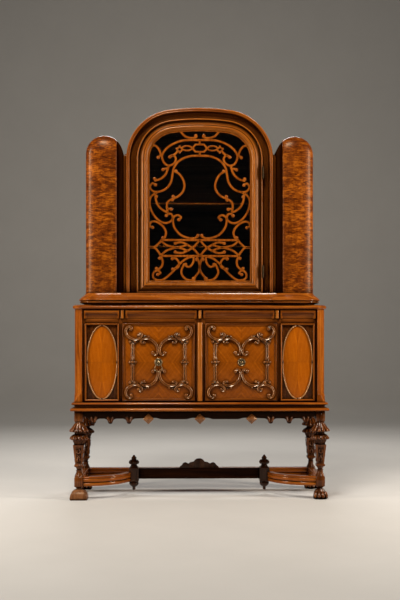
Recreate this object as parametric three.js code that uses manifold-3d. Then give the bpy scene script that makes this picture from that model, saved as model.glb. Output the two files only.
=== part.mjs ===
// A display cabinet on a stand: an arched, glazed and fretted door between two round-topped wings,
// over a cupboard with two doors, two oval side panels and two shallow frieze drawers, on four carved
// legs joined by stretchers. Millimetres, +Z up, front towards -Y, origin on the floor at the centre.
import * as THREE from "three";
import { mergeVertices } from "three/addons/utils/BufferGeometryUtils.js";
import Module from "manifold-3d";

const wasm = await Module();
wasm.setup();

// ---------- Driving dimensions ----------
const GAP = 0.3; // clearance between touching pieces
const CASE_HALF = 593; // lower case, half width over the corner posts
const CASE_FRONT = -190;
const CASE_BACK = 190;
const CANT = 38; // width and depth of the canted front corners
const STAND_TOP = 418; // underside of the base board
const BASE_TOP = 459;
const FRAME_FLOOR = 466; // bottom of the doors and side panels
const DOOR_TOP = 832;
const FRIEZE_BOTTOM = 855;
const FRIEZE_TOP = 896;
const WAIST_BOTTOM = 899;
const WAIST_TOP = 920;
const LEDGE_TOP = 976;
const LEG_X = 572;
const LEG_Y = 165;
const RAIL_BOTTOM = 63;
const RAIL_TOP = 108;
const POST_X = 320;
const ARCH_HALF = 351; // outer arch, half width
const ARCH_TOP = 1860;
const ARCH_SPRING = 1615;
const SHOULDER_R = 238; // small radius of the three-centred arch
const ARCH_FACE = -150;
const CASE_LINE = -126; // front edge of the upper case's boards
const DOOR_OFFSET = 51; // arch outline to door edge
const GLASS_OFFSET = 105; // arch outline to the sight edge of the glass
const WING_IN = 366.5;
const WING_OUT = 543;
const WING_TOP = 1728;
const COLUMN_IN = 395;
const BOARD = 14; // thickness of the upper case's boards
const BACK = 8; // thickness of the back boards

// ---------- Materials ----------
function finish(color, roughness, metalness = 0) {
  return new THREE.MeshStandardMaterial({ color, roughness, metalness });
}
const walnut = finish(0x8a4a1c, 0.32);
const darkWalnut = finish(0x3c1d0e, 0.4);
const veneer = finish(0xb5661f, 0.28);
const burl = finish(0x9a5a20, 0.25);
const inside = finish(0x5a3a20, 0.6);
const brass = finish(0x9c8452, 0.35, 1);
const iron = finish(0x2a241e, 0.5, 1);
const glass = finish(0xdfe8e6, 0.05);

// ---------- Solids ----------
function solid(geometry) {
  const bare = geometry.index ? geometry.toNonIndexed() : geometry.clone();
  for (const name of Object.keys(bare.attributes)) {
    if (name !== "position") bare.deleteAttribute(name);
  }
  const merged = mergeVertices(bare, 1e-3);
  return new wasm.Manifold(
    new wasm.Mesh({
      numProp: 3,
      vertProperties: merged.attributes.position.array,
      triVerts: new Uint32Array(merged.index.array),
    }),
  );
}

function geometryOf(manifold) {
  const mesh = manifold.getMesh();
  const geometry = new THREE.BufferGeometry();
  geometry.setAttribute("position", new THREE.BufferAttribute(mesh.vertProperties, 3));
  geometry.setIndex(new THREE.BufferAttribute(mesh.triVerts, 1));
  return geometry;
}

const join = (first, ...others) => others.reduce((sum, part) => sum.add(part), first);
const cut = (first, ...others) => others.reduce((rest, part) => rest.subtract(part), first);

function box(x0, x1, y0, y1, z0, z1) {
  const geometry = new THREE.BoxGeometry(Math.abs(x1 - x0), Math.abs(y1 - y0), Math.abs(z1 - z0));
  return solid(geometry.translate((x0 + x1) / 2, (y0 + y1) / 2, (z0 + z1) / 2));
}

function shapeOf(points) {
  return new THREE.Shape(points.map(([u, v]) => new THREE.Vector2(u, v)));
}

// A plan outline (x, y) extruded up from z0 to z1.
function plate(points, z0, z1) {
  const geometry = new THREE.ExtrudeGeometry(shapeOf(points), { depth: z1 - z0, bevelEnabled: false });
  return solid(geometry.translate(0, 0, z0));
}

// A front-view outline (x, z) extruded back from y0 to y1.
function slab(points, y0, y1) {
  const geometry = new THREE.ExtrudeGeometry(shapeOf(points), { depth: y1 - y0, bevelEnabled: false });
  return solid(geometry.rotateX(Math.PI / 2).translate(0, y1, 0));
}

// A side-view outline (y, z) extruded from x0 to x1.
function bar(points, x0, x1) {
  const geometry = new THREE.ExtrudeGeometry(shapeOf(points), { depth: x1 - x0, bevelEnabled: false });
  geometry.rotateX(Math.PI / 2).rotateZ(Math.PI / 2);
  return solid(geometry.translate(x0, 0, 0));
}

// Rings of equal length joined into a skin. closed joins the last ring to the first; otherwise
// both ends are capped.
function loft(rings, closed = false) {
  const count = rings[0].length;
  const vertices = rings.flat(2);
  const faces = [];
  const last = closed ? rings.length : rings.length - 1;
  for (let i = 0; i < last; i++) {
    const next = (i + 1) % rings.length;
    for (let j = 0; j < count; j++) {
      const k = (j + 1) % count;
      const [a, b, c, d] = [i * count + j, i * count + k, next * count + k, next * count + j];
      faces.push(a, b, c, a, c, d);
    }
  }
  if (!closed) {
    for (const [ring, start, flip] of [[rings[0], 0, true], [rings.at(-1), (rings.length - 1) * count, false]]) {
      for (const [a, b, c] of capFaces(ring)) {
        faces.push(...(flip ? [start + c, start + b, start + a] : [start + a, start + b, start + c]));
      }
    }
  }
  const geometry = new THREE.BufferGeometry();
  geometry.setAttribute("position", new THREE.Float32BufferAttribute(vertices, 3));
  geometry.setIndex(faces);
  const made = solid(geometry);
  if (made.volume() > 0) return made;
  for (let i = 0; i < faces.length; i += 3) [faces[i], faces[i + 1]] = [faces[i + 1], faces[i]];
  geometry.setIndex(faces);
  return solid(geometry);
}

// Triangles that fill a flat ring, wound with the ring.
function capFaces(ring) {
  const points = ring.map((p) => new THREE.Vector3(...p));
  const normal = new THREE.Vector3();
  points.forEach((p, i) => normal.add(p.clone().cross(points[(i + 1) % points.length])));
  normal.normalize();
  const across = points[1].clone().sub(points[0]).normalize();
  const up = normal.clone().cross(across);
  const flat = points.map((p) => new THREE.Vector2(p.dot(across), p.dot(up)));
  return THREE.ShapeUtils.triangulateShape(flat, []);
}

const TURN_SIDES = 12;
// A turned piece on a vertical axis through (x, y): profile is a list of [radius, z] up the outside.
function turned(profile, x, y, sides = TURN_SIDES) {
  const points = [[0, profile[0][1]], ...profile, [0, profile.at(-1)[1]]];
  const geometry = new THREE.LatheGeometry(points.map(([r, z]) => new THREE.Vector2(r, z)), sides);
  return solid(geometry.rotateX(Math.PI / 2).translate(x, y, 0));
}

// A square piece, or one with cut corners, on a vertical axis: sections are [half width, z].
function squared(sections, x, y, corner = 0) {
  const ring = ([half, z]) => {
    const c = half * corner;
    const h = half - c;
    const outline = corner
      ? [[half, -h], [half, h], [h, half], [-h, half], [-half, h], [-half, -h], [-h, -half], [h, -half]]
      : [[half, -half], [half, half], [-half, half], [-half, -half]];
    return outline.map(([dx, dy]) => [x + dx, y + dy, z]);
  };
  return loft(sections.map(ring));
}

// ---------- The assembly ----------
const cabinet = new THREE.Group();

const SMALLEST = 0.01; // edges and slivers under this are merged away
function add(name, manifold, material) {
  const mesh = new THREE.Mesh(geometryOf(manifold.simplify(SMALLEST)), material);
  mesh.name = name;
  cabinet.add(mesh);
}

const SIDES = [["left", -1], ["right", 1]];
const mirrored = (points, side) => points.map(([x, ...rest]) => [x * side, ...rest]);

// ---------- Stand ----------
// A leg from the floor up: paw, ankle, stretcher block, vase, ring, tapered pillar, gadrooned rings, top block.
const BLOCK_HALF = 20.5;
function leg(side, end) {
  const [x, y] = [side * LEG_X, end * LEG_Y];
  const paw = squared([[38, 0], [42, 10], [41, 26], [30, 42], [15, 50]], x, y, 0.35);
  const block = squared([[14, 50], [15, 59], [BLOCK_HALF, 62], [BLOCK_HALF, 108], [15.5, 128], [15, 140]], x, y);
  const stem = turned([[14, 139], [11, 143], [19, 157], [20.5, 162], [17, 168]], x, y);
  const pillar = squared([[16, 167], [28, 262]], x, y, 0.2);
  const cup = turned([[24, 261], [31, 284], [44, 290], [45, 297], [34, 306], [23, 308], [23, 318],
    [44, 322], [46, 329], [38, 345], [23, 358], [18, 363]], x, y);
  const top = squared([[BLOCK_HALF, 362], [BLOCK_HALF, STAND_TOP - GAP]], x, y);
  return join(paw, block, stem, pillar, cup, top);
}
for (const [end, sign] of [["front", -1], ["rear", 1]]) {
  for (const [name, side] of SIDES) add(`leg_${end}_${name}`, leg(side, sign), darkWalnut);
}

// Stretcher section (across, z): an upper moulded band, a groove and a lower bead.
function railSection(half) {
  return [[-half, RAIL_TOP], [half, RAIL_TOP], [half, RAIL_TOP - 26], [half - 6, RAIL_TOP - 28],
    [half - 6, RAIL_BOTTOM + 16], [half - 1, RAIL_BOTTOM + 14], [half - 1, RAIL_BOTTOM + 3],
    [half - 4, RAIL_BOTTOM], [4 - half, RAIL_BOTTOM], [1 - half, RAIL_BOTTOM + 3],
    [1 - half, RAIL_BOTTOM + 14], [6 - half, RAIL_BOTTOM + 16], [6 - half, RAIL_TOP - 28],
    [-half, RAIL_TOP - 26]];
}
const RAIL_HALF = 17;
const LEG_IN = LEG_X - BLOCK_HALF - GAP;
const RAIL_RUN = LEG_IN - POST_X - 27;
const ARC_STEPS = 10;

// The curved front stretcher: a quarter bow from the front leg back to the post.
function bowedRail(side) {
  const depth = LEG_Y - 8;
  const radius = (RAIL_RUN ** 2 + depth ** 2) / (2 * depth);
  const sweep = Math.asin(RAIL_RUN / radius);
  const rings = [];
  for (let i = 0; i <= ARC_STEPS; i++) {
    const turn = (sweep * i) / ARC_STEPS;
    rings.push(railSection(RAIL_HALF).map(([across, z]) => [
      side * (LEG_IN - (radius + across) * Math.sin(turn)),
      -LEG_Y + radius - (radius + across) * Math.cos(turn),
      z,
    ]));
  }
  return loft(rings);
}

for (const [name, side] of SIDES) {
  const postBody = squared([[20, RAIL_BOTTOM - 4], [24, RAIL_BOTTOM], [24, RAIL_TOP + 20], [18, RAIL_TOP + 26]], side * POST_X, 0, 0.25);
  const finial = turned([[20, RAIL_TOP + 25], [16, 139], [14, 143], [24, 149], [26, 157], [20, 165], [11, 169],
    [13, 176], [6, 184], [3, 191]], side * POST_X, 0);
  const drop = turned([[4, 17], [8, 24], [9, 34], [17, 40], [23, 50], [20, 60]], side * POST_X, 0);
  const rail = cut(bowedRail(side), squared([[24 + GAP, 40], [24 + GAP, 160]], side * POST_X, 0));
  add(`stretcher_bow_${name}`, rail, walnut);
  add(`stretcher_post_${name}`, join(postBody, finial, drop), darkWalnut);
  const sideBar = railSection(RAIL_HALF).map(([across, z]) => [side * LEG_X + across, z]);
  add(`stretcher_side_${name}`, slab(sideBar, -LEG_Y + BLOCK_HALF + GAP, LEG_Y - BLOCK_HALF - GAP), walnut);
}
const rearBar = railSection(RAIL_HALF).map(([across, z]) => [LEG_Y + across, z]);
add("stretcher_rear", bar(rearBar, -LEG_IN, LEG_IN), walnut);

const BEAM_BOTTOM = 74;
const BEAM_TOP = 126;
const BEAM_HALF = 11;
const beamSection = [[-BEAM_HALF, BEAM_BOTTOM], [BEAM_HALF, BEAM_BOTTOM], [BEAM_HALF, BEAM_TOP], [-BEAM_HALF, BEAM_TOP]];
const BEAM_END = POST_X - 24 - GAP;
add("stretcher_beam", bar(beamSection, -BEAM_END, BEAM_END), darkWalnut);

// The shaped crest on the beam: a centre lobe between two lower shoulders.
function crestOutline() {
  const half = [[96, 0], [88, 10], [78, 24], [66, 26], [54, 21], [44, 27], [30, 30]];
  const lobe = [];
  for (let i = 0; i <= 6; i++) {
    const turn = (Math.PI * (i + 1)) / 8;
    lobe.push([26 * Math.cos(turn), 27 + 19 * Math.sin(turn)]);
  }
  return [...half, ...lobe, ...mirrored(half, -1).reverse()];
}
add("stretcher_crest", slab(crestOutline().map(([x, z]) => [x, z + BEAM_TOP + GAP]), -8, 8), darkWalnut);

// Aprons: the front one is scalloped towards its ends and carries three diamond bosses.
const APRON_BOTTOM = 379;
const APRON_DROP = 358;
const BOSS_X = 244;
function apronOutline() {
  const end = LEG_IN;
  const drops = [502, 423, 335];
  const lower = [[end, APRON_BOTTOM + 14], [end - 22, APRON_BOTTOM + 10]];
  const dropShape = [[25, APRON_BOTTOM + 3], [14, APRON_BOTTOM - 3], [9, APRON_DROP + 3], [5, APRON_DROP]];
  for (const x of drops) {
    lower.push(...dropShape.map(([dx, z]) => [x + dx, z]), ...[...dropShape].reverse().map(([dx, z]) => [x - dx, z]));
  }
  lower.push([BOSS_X, APRON_BOTTOM + 6], [BOSS_X - 40, APRON_BOTTOM + 6], [BOSS_X - 60, APRON_BOTTOM],
    [60, APRON_BOTTOM], [40, APRON_BOTTOM + 6]);
  const right = [[end, STAND_TOP - GAP], ...lower];
  return [...right, ...mirrored(right, -1).reverse()];
}
const APRON_FRONT = -LEG_Y - BLOCK_HALF + 4;
const APRON_THICK = 18;
function boss(x) {
  const ring = (size, y) => [[size, 0], [0, size * 0.9], [-size, 0], [0, -size * 0.9]].map(([dx, dz]) => [x + dx, y, 381 + dz]);
  return loft([ring(28, APRON_FRONT + 6), ring(28, APRON_FRONT - 3), ring(2, APRON_FRONT - 16)]);
}
const frontApron = slab(apronOutline(), APRON_FRONT, APRON_FRONT + APRON_THICK);
add("apron_front", join(frontApron, ...[-BOSS_X, 0, BOSS_X].map(boss)), darkWalnut);
add("apron_rear", box(-LEG_IN, LEG_IN, LEG_Y - 2, LEG_Y + 16, APRON_BOTTOM, STAND_TOP - GAP), darkWalnut);
for (const [name, side] of SIDES) {
  const x = side * (LEG_X + BLOCK_HALF - 4);
  const reach = LEG_Y - BLOCK_HALF - GAP;
  const profile = [[-reach, STAND_TOP - GAP], [-reach, APRON_BOTTOM + 12], [-110, APRON_BOTTOM], [-40, APRON_BOTTOM],
    [0, APRON_DROP + 8], [40, APRON_BOTTOM], [110, APRON_BOTTOM], [reach, APRON_BOTTOM + 12], [reach, STAND_TOP - GAP]];
  add(`apron_${name}`, bar(profile, Math.min(x, x - side * 18), Math.max(x, x - side * 18)), darkWalnut);
}

// ---------- Lower case ----------
// Plan outline of the case grown by an offset, with canted front corners unless square.
function caseOutline(offset, canted = true, back = CASE_BACK) {
  const [w, f] = [CASE_HALF + offset, CASE_FRONT - offset];
  const c = CANT + offset * (2 - Math.SQRT2);
  const right = canted ? [[w - c, f], [w, f + c], [w, back]] : [[w, f], [w, back]];
  return [...right, ...mirrored(right, -1).reverse()];
}
const layer = (offset, z, canted, back) => caseOutline(offset, canted, back).map(([x, y]) => [x, y, z]);

// Base board: a lower bead, a cove and an upper bead, square at the corners.
add("base_board", loft([[11, STAND_TOP], [16, STAND_TOP + 4], [17, STAND_TOP + 9], [13, STAND_TOP + 15], [3, STAND_TOP + 18],
  [2, STAND_TOP + 28], [10, STAND_TOP + 32], [12, STAND_TOP + 36], [9, BASE_TOP]].map(([o, z]) => layer(o, z, false))), walnut);

const SIDE_THICK = 18;
const CASE_FLOOR = BASE_TOP + GAP;
const CASE_TOP = WAIST_BOTTOM - GAP;
const POST_BACK = CASE_FRONT + CANT + 14;
for (const [name, side] of SIDES) {
  const inner = CASE_HALF - CANT;
  const post = mirrored([[inner, CASE_FRONT], [CASE_HALF, CASE_FRONT], [CASE_HALF, POST_BACK], [inner, POST_BACK]], side);
  // The canted face, with a lamb's-tongue stop at its foot.
  const chamfer = loft([[0, CASE_FLOOR + 3], [0.45, CASE_FLOOR + 12], [0.8, CASE_FLOOR + 22], [1, CASE_FLOOR + 36], [1, CASE_TOP + 5]]
    .map(([share, z]) => {
      const c = CANT * share;
      const edge = 2;
      return mirrored([[CASE_HALF - c, CASE_FRONT - edge, z], [CASE_HALF + edge, CASE_FRONT - edge, z],
        [CASE_HALF + edge, CASE_FRONT + c, z]], side);
    }));
  add(`corner_post_${name}`, cut(plate(post, CASE_FLOOR, CASE_TOP), chamfer), walnut);
  add(`case_side_${name}`, box(side * (CASE_HALF - SIDE_THICK), side * CASE_HALF, POST_BACK + GAP, CASE_BACK - BACK - GAP,
    CASE_FLOOR, CASE_TOP), walnut);
}
add("case_back", box(-CASE_HALF, CASE_HALF, CASE_BACK - BACK, CASE_BACK, CASE_FLOOR, CASE_TOP), inside);

// The front frame: stiles beside and between the doors, the rail over them and the frieze dividers.
const FRAME_FACE = CASE_FRONT + 8;
const FRAME_THICK = 22;
const FRAME_BACK = FRAME_FACE + FRAME_THICK;
const DOOR_IN = 24; // nearest edge of a lower door to the centre
const DOOR_OUT = 366;
const OVAL_IN = 381;
const OVAL_OUT = 543;
const DOOR_GAP = 1.5;
function frontFrame() {
  const half = CASE_HALF - CANT - GAP;
  const whole = box(-half, half, FRAME_FACE, FRAME_BACK, CASE_FLOOR, CASE_TOP);
  const holes = [];
  for (const side of [-1, 1]) {
    holes.push(box(side * (DOOR_IN - DOOR_GAP), side * (DOOR_OUT + DOOR_GAP), FRAME_FACE - 1, FRAME_BACK + 1,
      FRAME_FLOOR - DOOR_GAP, DOOR_TOP + DOOR_GAP));
    holes.push(box(side * OVAL_IN, side * OVAL_OUT, FRAME_FACE - 1, FRAME_BACK + 1, FRAME_FLOOR, DOOR_TOP));
    holes.push(box(side * 14, side * 353, FRAME_FACE - 1, FRAME_BACK + 1, FRIEZE_BOTTOM, CASE_TOP + 1));
    holes.push(box(side * 379, side * 548, FRAME_FACE - 1, FRAME_FACE + 12, FRIEZE_BOTTOM, CASE_TOP + 1));
  }
  return cut(whole, ...holes);
}
const stileBead = (x, half, z0, z1) => box(x - half, x + half, CASE_FRONT - 2, FRAME_FACE + 2, z0, z1);

// A frieze front's section (y, z): a lip at the top, then a hollow that runs back to the finger grip below.
const FRIEZE_LIP = CASE_FRONT - 4;
const friezeSection = [[FRIEZE_LIP, FRIEZE_TOP - 1], [FRIEZE_LIP, FRIEZE_TOP - 8], [FRIEZE_LIP + 8, FRIEZE_TOP - 16],
  [FRIEZE_LIP + 12, FRIEZE_TOP - 26], [FRIEZE_LIP + 13, FRIEZE_BOTTOM + 1], [FRAME_BACK - 2, FRIEZE_BOTTOM + 1],
  [FRAME_BACK - 2, FRIEZE_TOP - 1]];
const frameTrim = [stileBead(0, 13, FRAME_FLOOR, DOOR_TOP + 4), stileBead(0, 8.5, FRIEZE_BOTTOM, FRIEZE_TOP)];
for (const side of [-1, 1]) {
  frameTrim.push(stileBead(side * 366, 8.5, FRIEZE_BOTTOM, FRIEZE_TOP));
  frameTrim.push(bar(friezeSection, Math.min(side * 381, side * 546), Math.max(side * 381, side * 546)));
}
add("front_frame", join(frontFrame(), ...frameTrim), walnut);

const DRAWER_IN = 16;
const DRAWER_OUT = 351;
const DRAWER_BACK = 158;
for (const [name, side] of SIDES) {
  const [x0, x1] = [side * DRAWER_IN, side * DRAWER_OUT];
  const [inner, outer] = [side * (DRAWER_IN + 8), side * (DRAWER_OUT - 8)];
  const front = bar(friezeSection, Math.min(x0, x1), Math.max(x0, x1));
  const shell = box(inner, outer, FRAME_BACK - 3, DRAWER_BACK, FRIEZE_BOTTOM + 4, FRIEZE_TOP - 3);
  const hollow = box(inner + side * 9, outer - side * 9, FRAME_BACK, DRAWER_BACK - 9, FRIEZE_BOTTOM + 10, FRIEZE_TOP);
  add(`frieze_drawer_${name}`, cut(join(front, shell), hollow), walnut);
  const panelBack = FRAME_BACK - 6;
  const [o0, o1] = [side * (OVAL_IN + GAP), side * (OVAL_OUT - GAP)];
  const board = box(o0, o1, FRAME_FACE + 4, panelBack, FRAME_FLOOR + GAP, DOOR_TOP - GAP);
  const rim = cut(box(o0, o1, CASE_FRONT - 1, FRAME_FACE + 5, FRAME_FLOOR + GAP, DOOR_TOP - GAP),
    box(o0 + side * 9, o1 - side * 9, CASE_FRONT - 2, FRAME_FACE + 6, FRAME_FLOOR + 9, DOOR_TOP - 9));
  const oval = new THREE.EllipseCurve((o0 + o1) / 2, (FRAME_FLOOR + DOOR_TOP) / 2, 73, 176).getPoints(24).slice(0, 24).map((p) => [p.x, p.y]);
  add(`oval_panel_${name}`, join(board, rim, slab(oval, FRAME_FACE - 3, FRAME_FACE + 5)), veneer);
}

// Cupboard shelf, and the dust board that the frieze drawers slide on.
const INNER_HALF = CASE_HALF - SIDE_THICK - GAP;
const dustFront = FRAME_BACK + GAP;
add("dust_board", box(-INNER_HALF, INNER_HALF, POST_BACK + GAP, CASE_BACK - BACK - GAP, FRIEZE_BOTTOM - 10, FRIEZE_BOTTOM + 3), inside);
add("cupboard_shelf", box(-INNER_HALF, INNER_HALF, -130, CASE_BACK - BACK - GAP, 640, 654), inside);

// Lower doors: each turns on two pivot hinges at its outer front edge, a plate with a pin below and above.
const DOOR_FACE = CASE_FRONT - 1;
const DOOR_THICK = 22;
const PIVOT_R = 2;
const PIVOT_IN = 4; // pivot centre from the door's face and outer edge
const pin = (r, x, y, z0, z1) => turned([[r, Math.min(z0, z1)], [r, Math.max(z0, z1)]], x, y, 10);
for (const [name, side] of SIDES) {
  const [x0, x1] = [side * DOOR_IN, side * DOOR_OUT];
  const [px, py] = [side * (DOOR_OUT - PIVOT_IN), DOOR_FACE + PIVOT_IN];
  const board = box(x0, x1, DOOR_FACE + 4, DOOR_FACE + DOOR_THICK, FRAME_FLOOR, DOOR_TOP);
  const rim = cut(box(x0, x1, DOOR_FACE, DOOR_FACE + 5, FRAME_FLOOR, DOOR_TOP),
    box(x0 + side * 14, x1 - side * 14, DOOR_FACE - 1, DOOR_FACE + 6, FRAME_FLOOR + 14, DOOR_TOP - 14));
  const sockets = [pin(PIVOT_R + GAP, px, py, FRAME_FLOOR - 1, FRAME_FLOOR + 9),
    pin(PIVOT_R + GAP, px, py, DOOR_TOP + 1, DOOR_TOP - 9)];
  add(`lower_door_${name}`, cut(join(board, rim), ...sockets), veneer);
  for (const [end, edge, inward] of [["bottom", FRAME_FLOOR, 1], ["top", DOOR_TOP, -1]]) {
    const near = edge - inward * GAP;
    const far = edge - inward * (DOOR_GAP - 0.2);
    const arm = box(px - side * 12, px + side * 3, py - 2.5, py + 22, near, far);
    add(`pivot_hinge_${end}_${name}`, join(arm, pin(PIVOT_R, px, py, far, edge + inward * 8)), iron);
  }
}

// Pulls: both doors carry a round plate; the left one still has its drop ring.
const PULL_X = 196;
const PULL_Z = 649;
const FIELD_FACE = DOOR_FACE + 4;
const button = (profile, x, y, z) => turned(profile, 0, 0, 16).rotate([90, 0, 0]).translate([x, y, z]);
const EYE_Y = FIELD_FACE - 9;
const EYE_Z = PULL_Z - 11;
for (const [name, side] of SIDES) {
  const disc = button([[19, GAP], [19, 2], [15, 4], [7, 5], [6, 8], [2, 9]], side * PULL_X, FIELD_FACE, PULL_Z);
  const lug = box(-PULL_X - 3, -PULL_X + 3, EYE_Y - 3, FIELD_FACE - 3, EYE_Z - 4, EYE_Z + 5);
  const eye = pin(2, 0, 0, -5, 5).rotate([0, 90, 0]).translate([-PULL_X, EYE_Y, EYE_Z]);
  add(`pull_plate_${name}`, side < 0 ? cut(join(disc, lug), eye) : disc, brass);
}
// The drop ring hangs in the lug's eye, in a plane along the door.
const RING_R = 17;
const RING_WIRE = 1.6;
const ringShape = new THREE.TorusGeometry(RING_R, RING_WIRE, 8, 28);
ringShape.rotateX(Math.PI / 2).translate(-PULL_X, EYE_Y, EYE_Z - RING_R);
add("pull_ring_left", solid(ringShape), brass);

// Waist board over the drawers, and the stepped ledge that carries the upper case.
add("waist_board", loft([[1, WAIST_BOTTOM], [7, WAIST_BOTTOM + 4], [10, WAIST_BOTTOM + 11], [7, WAIST_TOP - 4],
  [-4, WAIST_TOP]].map(([o, z]) => layer(o, z))), walnut);

const LEDGE_HALF = 545;
const LEDGE_FRONT = -170;
const LEDGE_STEP = 8; // how far the ledge comes forward under the columns
const LEDGE_CORNER = 58;
function ledgeRing(offset, z) {
  const [inner, outer] = [363 - offset, LEDGE_HALF + offset];
  const [middle, front] = [LEDGE_FRONT - offset, LEDGE_FRONT - LEDGE_STEP - offset];
  const r = LEDGE_CORNER + offset;
  const right = [[inner, middle], [inner + 6, front]];
  for (let i = 0; i <= 5; i++) {
    const turn = (Math.PI * i) / 10;
    right.push([outer - r + r * Math.sin(turn), front + r - r * Math.cos(turn)]);
  }
  right.push([outer, CASE_BACK]);
  return [...right, ...mirrored(right, -1).reverse()].map(([x, y]) => [x, y, z]);
}
add("ledge_board", loft([[17, WAIST_TOP + GAP], [17, 927], [25, 932], [25, 939], [30, 942], [31, 945], [28, 949], [22, 952],
  [17, 958], [7, 964], [2, 970], [0, LEDGE_TOP]].map(([o, z]) => ledgeRing(o, z))), walnut);

// ---------- Upper case ----------
// The three-centred arch moved in by an offset, from its right foot over the crown to its left foot.
const CROWN_R = (() => {
  // The crown arc meets both shoulder arcs tangentially.
  const dx = ARCH_HALF - SHOULDER_R;
  const dz = ARCH_TOP - ARCH_SPRING;
  return (dx * dx + dz * dz - SHOULDER_R ** 2) / (2 * (dz - SHOULDER_R));
})();
const CROWN_Z = ARCH_TOP - CROWN_R;
const CROWN_TURN = Math.atan2(ARCH_HALF - SHOULDER_R, ARCH_SPRING - CROWN_Z);
function arch(offset, bottom, shoulderSteps = 8, crownSteps = 4) {
  const right = [[ARCH_HALF - offset, bottom]];
  const r = SHOULDER_R - offset;
  for (let i = 0; i <= shoulderSteps; i++) {
    const turn = ((Math.PI / 2 - CROWN_TURN) * i) / shoulderSteps;
    right.push([ARCH_HALF - SHOULDER_R + r * Math.cos(turn), ARCH_SPRING + r * Math.sin(turn)]);
  }
  for (let i = 1; i < crownSteps; i++) {
    const turn = CROWN_TURN * (1 - i / crownSteps);
    right.push([(CROWN_R - offset) * Math.sin(turn), CROWN_Z + (CROWN_R - offset) * Math.cos(turn)]);
  }
  return [...right, [0, ARCH_TOP - offset], ...mirrored(right, -1).reverse()];
}
// A moulding strip that follows the arch between two offsets; it stays open at the foot.
function archStrip(outer, inner, y0, y1, foot = UPPER_FLOOR, innerFoot = foot - 10) {
  return cut(slab(arch(outer, foot), y0, y1), slab(arch(inner, innerFoot), y0 - 1, y1 + 1));
}
const UPPER_FLOOR = LEDGE_TOP + GAP;
const UPPER_BACK = CASE_BACK - BACK - GAP;

// The arched case and, outside it, the side boards whose rounded front edges show beside the columns.
const sideBoards = SIDES.map(([, side]) => slab(mirrored([[ARCH_HALF - 4, UPPER_FLOOR], [364.5, UPPER_FLOOR], [364.5, 1628],
  [362, 1637], [356, 1642], [ARCH_HALF - 4, 1642]], side), CASE_LINE, UPPER_BACK));
add("arch_case", join(archStrip(0, 16, CASE_LINE, UPPER_BACK), ...sideBoards), walnut);

// The wings: a round-topped shell open below and behind, and a bowed column on its front.
const WING_MID = (WING_IN + WING_OUT) / 2;
const WING_R = (WING_OUT - WING_IN) / 2;
const WING_SPRING = WING_TOP - WING_R;
function wing(offset, bottom) {
  const points = [[WING_OUT - offset, bottom]];
  for (let i = 0; i <= 12; i++) {
    const turn = (Math.PI * i) / 12;
    points.push([WING_MID + (WING_R - offset) * Math.cos(turn), WING_SPRING + (WING_R - offset) * Math.sin(turn)]);
  }
  return [...points, [WING_IN + offset, bottom]];
}
const COLUMN_BOW = 46;
const columnPlan = [[COLUMN_IN, CASE_LINE - GAP], [WING_OUT, CASE_LINE - GAP]];
const columnCut = Math.acos((COLUMN_IN - WING_MID) / WING_R); // the bow is cut off straight on its inner side
for (let i = 1; i <= 12; i++) {
  const turn = (columnCut * i) / 12;
  columnPlan.push([WING_MID + WING_R * Math.cos(turn), CASE_LINE - GAP - COLUMN_BOW * Math.sin(turn)]);
}
for (const [name, side] of SIDES) {
  const shell = cut(slab(mirrored(wing(0, UPPER_FLOOR), side), CASE_LINE, UPPER_BACK),
    slab(mirrored(wing(BOARD, UPPER_FLOOR - 5), side), CASE_LINE + BOARD, UPPER_BACK + 5));
  add(`wing_shell_${name}`, shell, walnut);
  const crown = loft([[0, 2], [0, -4], [3, -18], [9, -32], [18, -42], [28, -50]].map(([o, y]) =>
    mirrored(wing(o, UPPER_FLOOR - 5 - o), side).map(([x, z]) => [x, CASE_LINE + y, z])));
  add(`column_${name}`, plate(mirrored(columnPlan, side), UPPER_FLOOR, WING_TOP).intersect(crown), burl);
}
const backBoard = join(slab(arch(0, UPPER_FLOOR), UPPER_BACK + GAP, CASE_BACK),
  ...SIDES.map(([, side]) => slab(mirrored(wing(0, UPPER_FLOOR), side), UPPER_BACK + GAP, CASE_BACK)),
  ...SIDES.map(([, side]) => box(side * 340, side * 370, UPPER_BACK + GAP, CASE_BACK, UPPER_FLOOR, 1640)));
add("upper_back", backBoard, inside);

// A moulding that follows the arch: section points are [offset, y]; footAt gives each offset's foot height.
function archMoulding(section, footAt, closed) {
  const paths = section.map(([offset, y]) => arch(offset, footAt(offset)).map(([x, z]) => [x, y, z]));
  return loft(paths[0].map((_, i) => paths.map((path) => path[i])), closed);
}

// Face frame: a proud outer bead, a hollow and a flat against the door.
const FACE_BACK = CASE_LINE - GAP;
const FLAT_IN = DOOR_OFFSET - 2;
const faceSection = [[0, ARCH_FACE + 5], [4, ARCH_FACE], [15, ARCH_FACE], [19, ARCH_FACE + 5], [19, ARCH_FACE + 12],
  [30, ARCH_FACE + 12], [30, ARCH_FACE + 8], [FLAT_IN, ARCH_FACE + 8], [FLAT_IN, FACE_BACK], [0, FACE_BACK]];
add("arch_face_frame", archMoulding(faceSection, () => UPPER_FLOOR, false), walnut);

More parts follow.
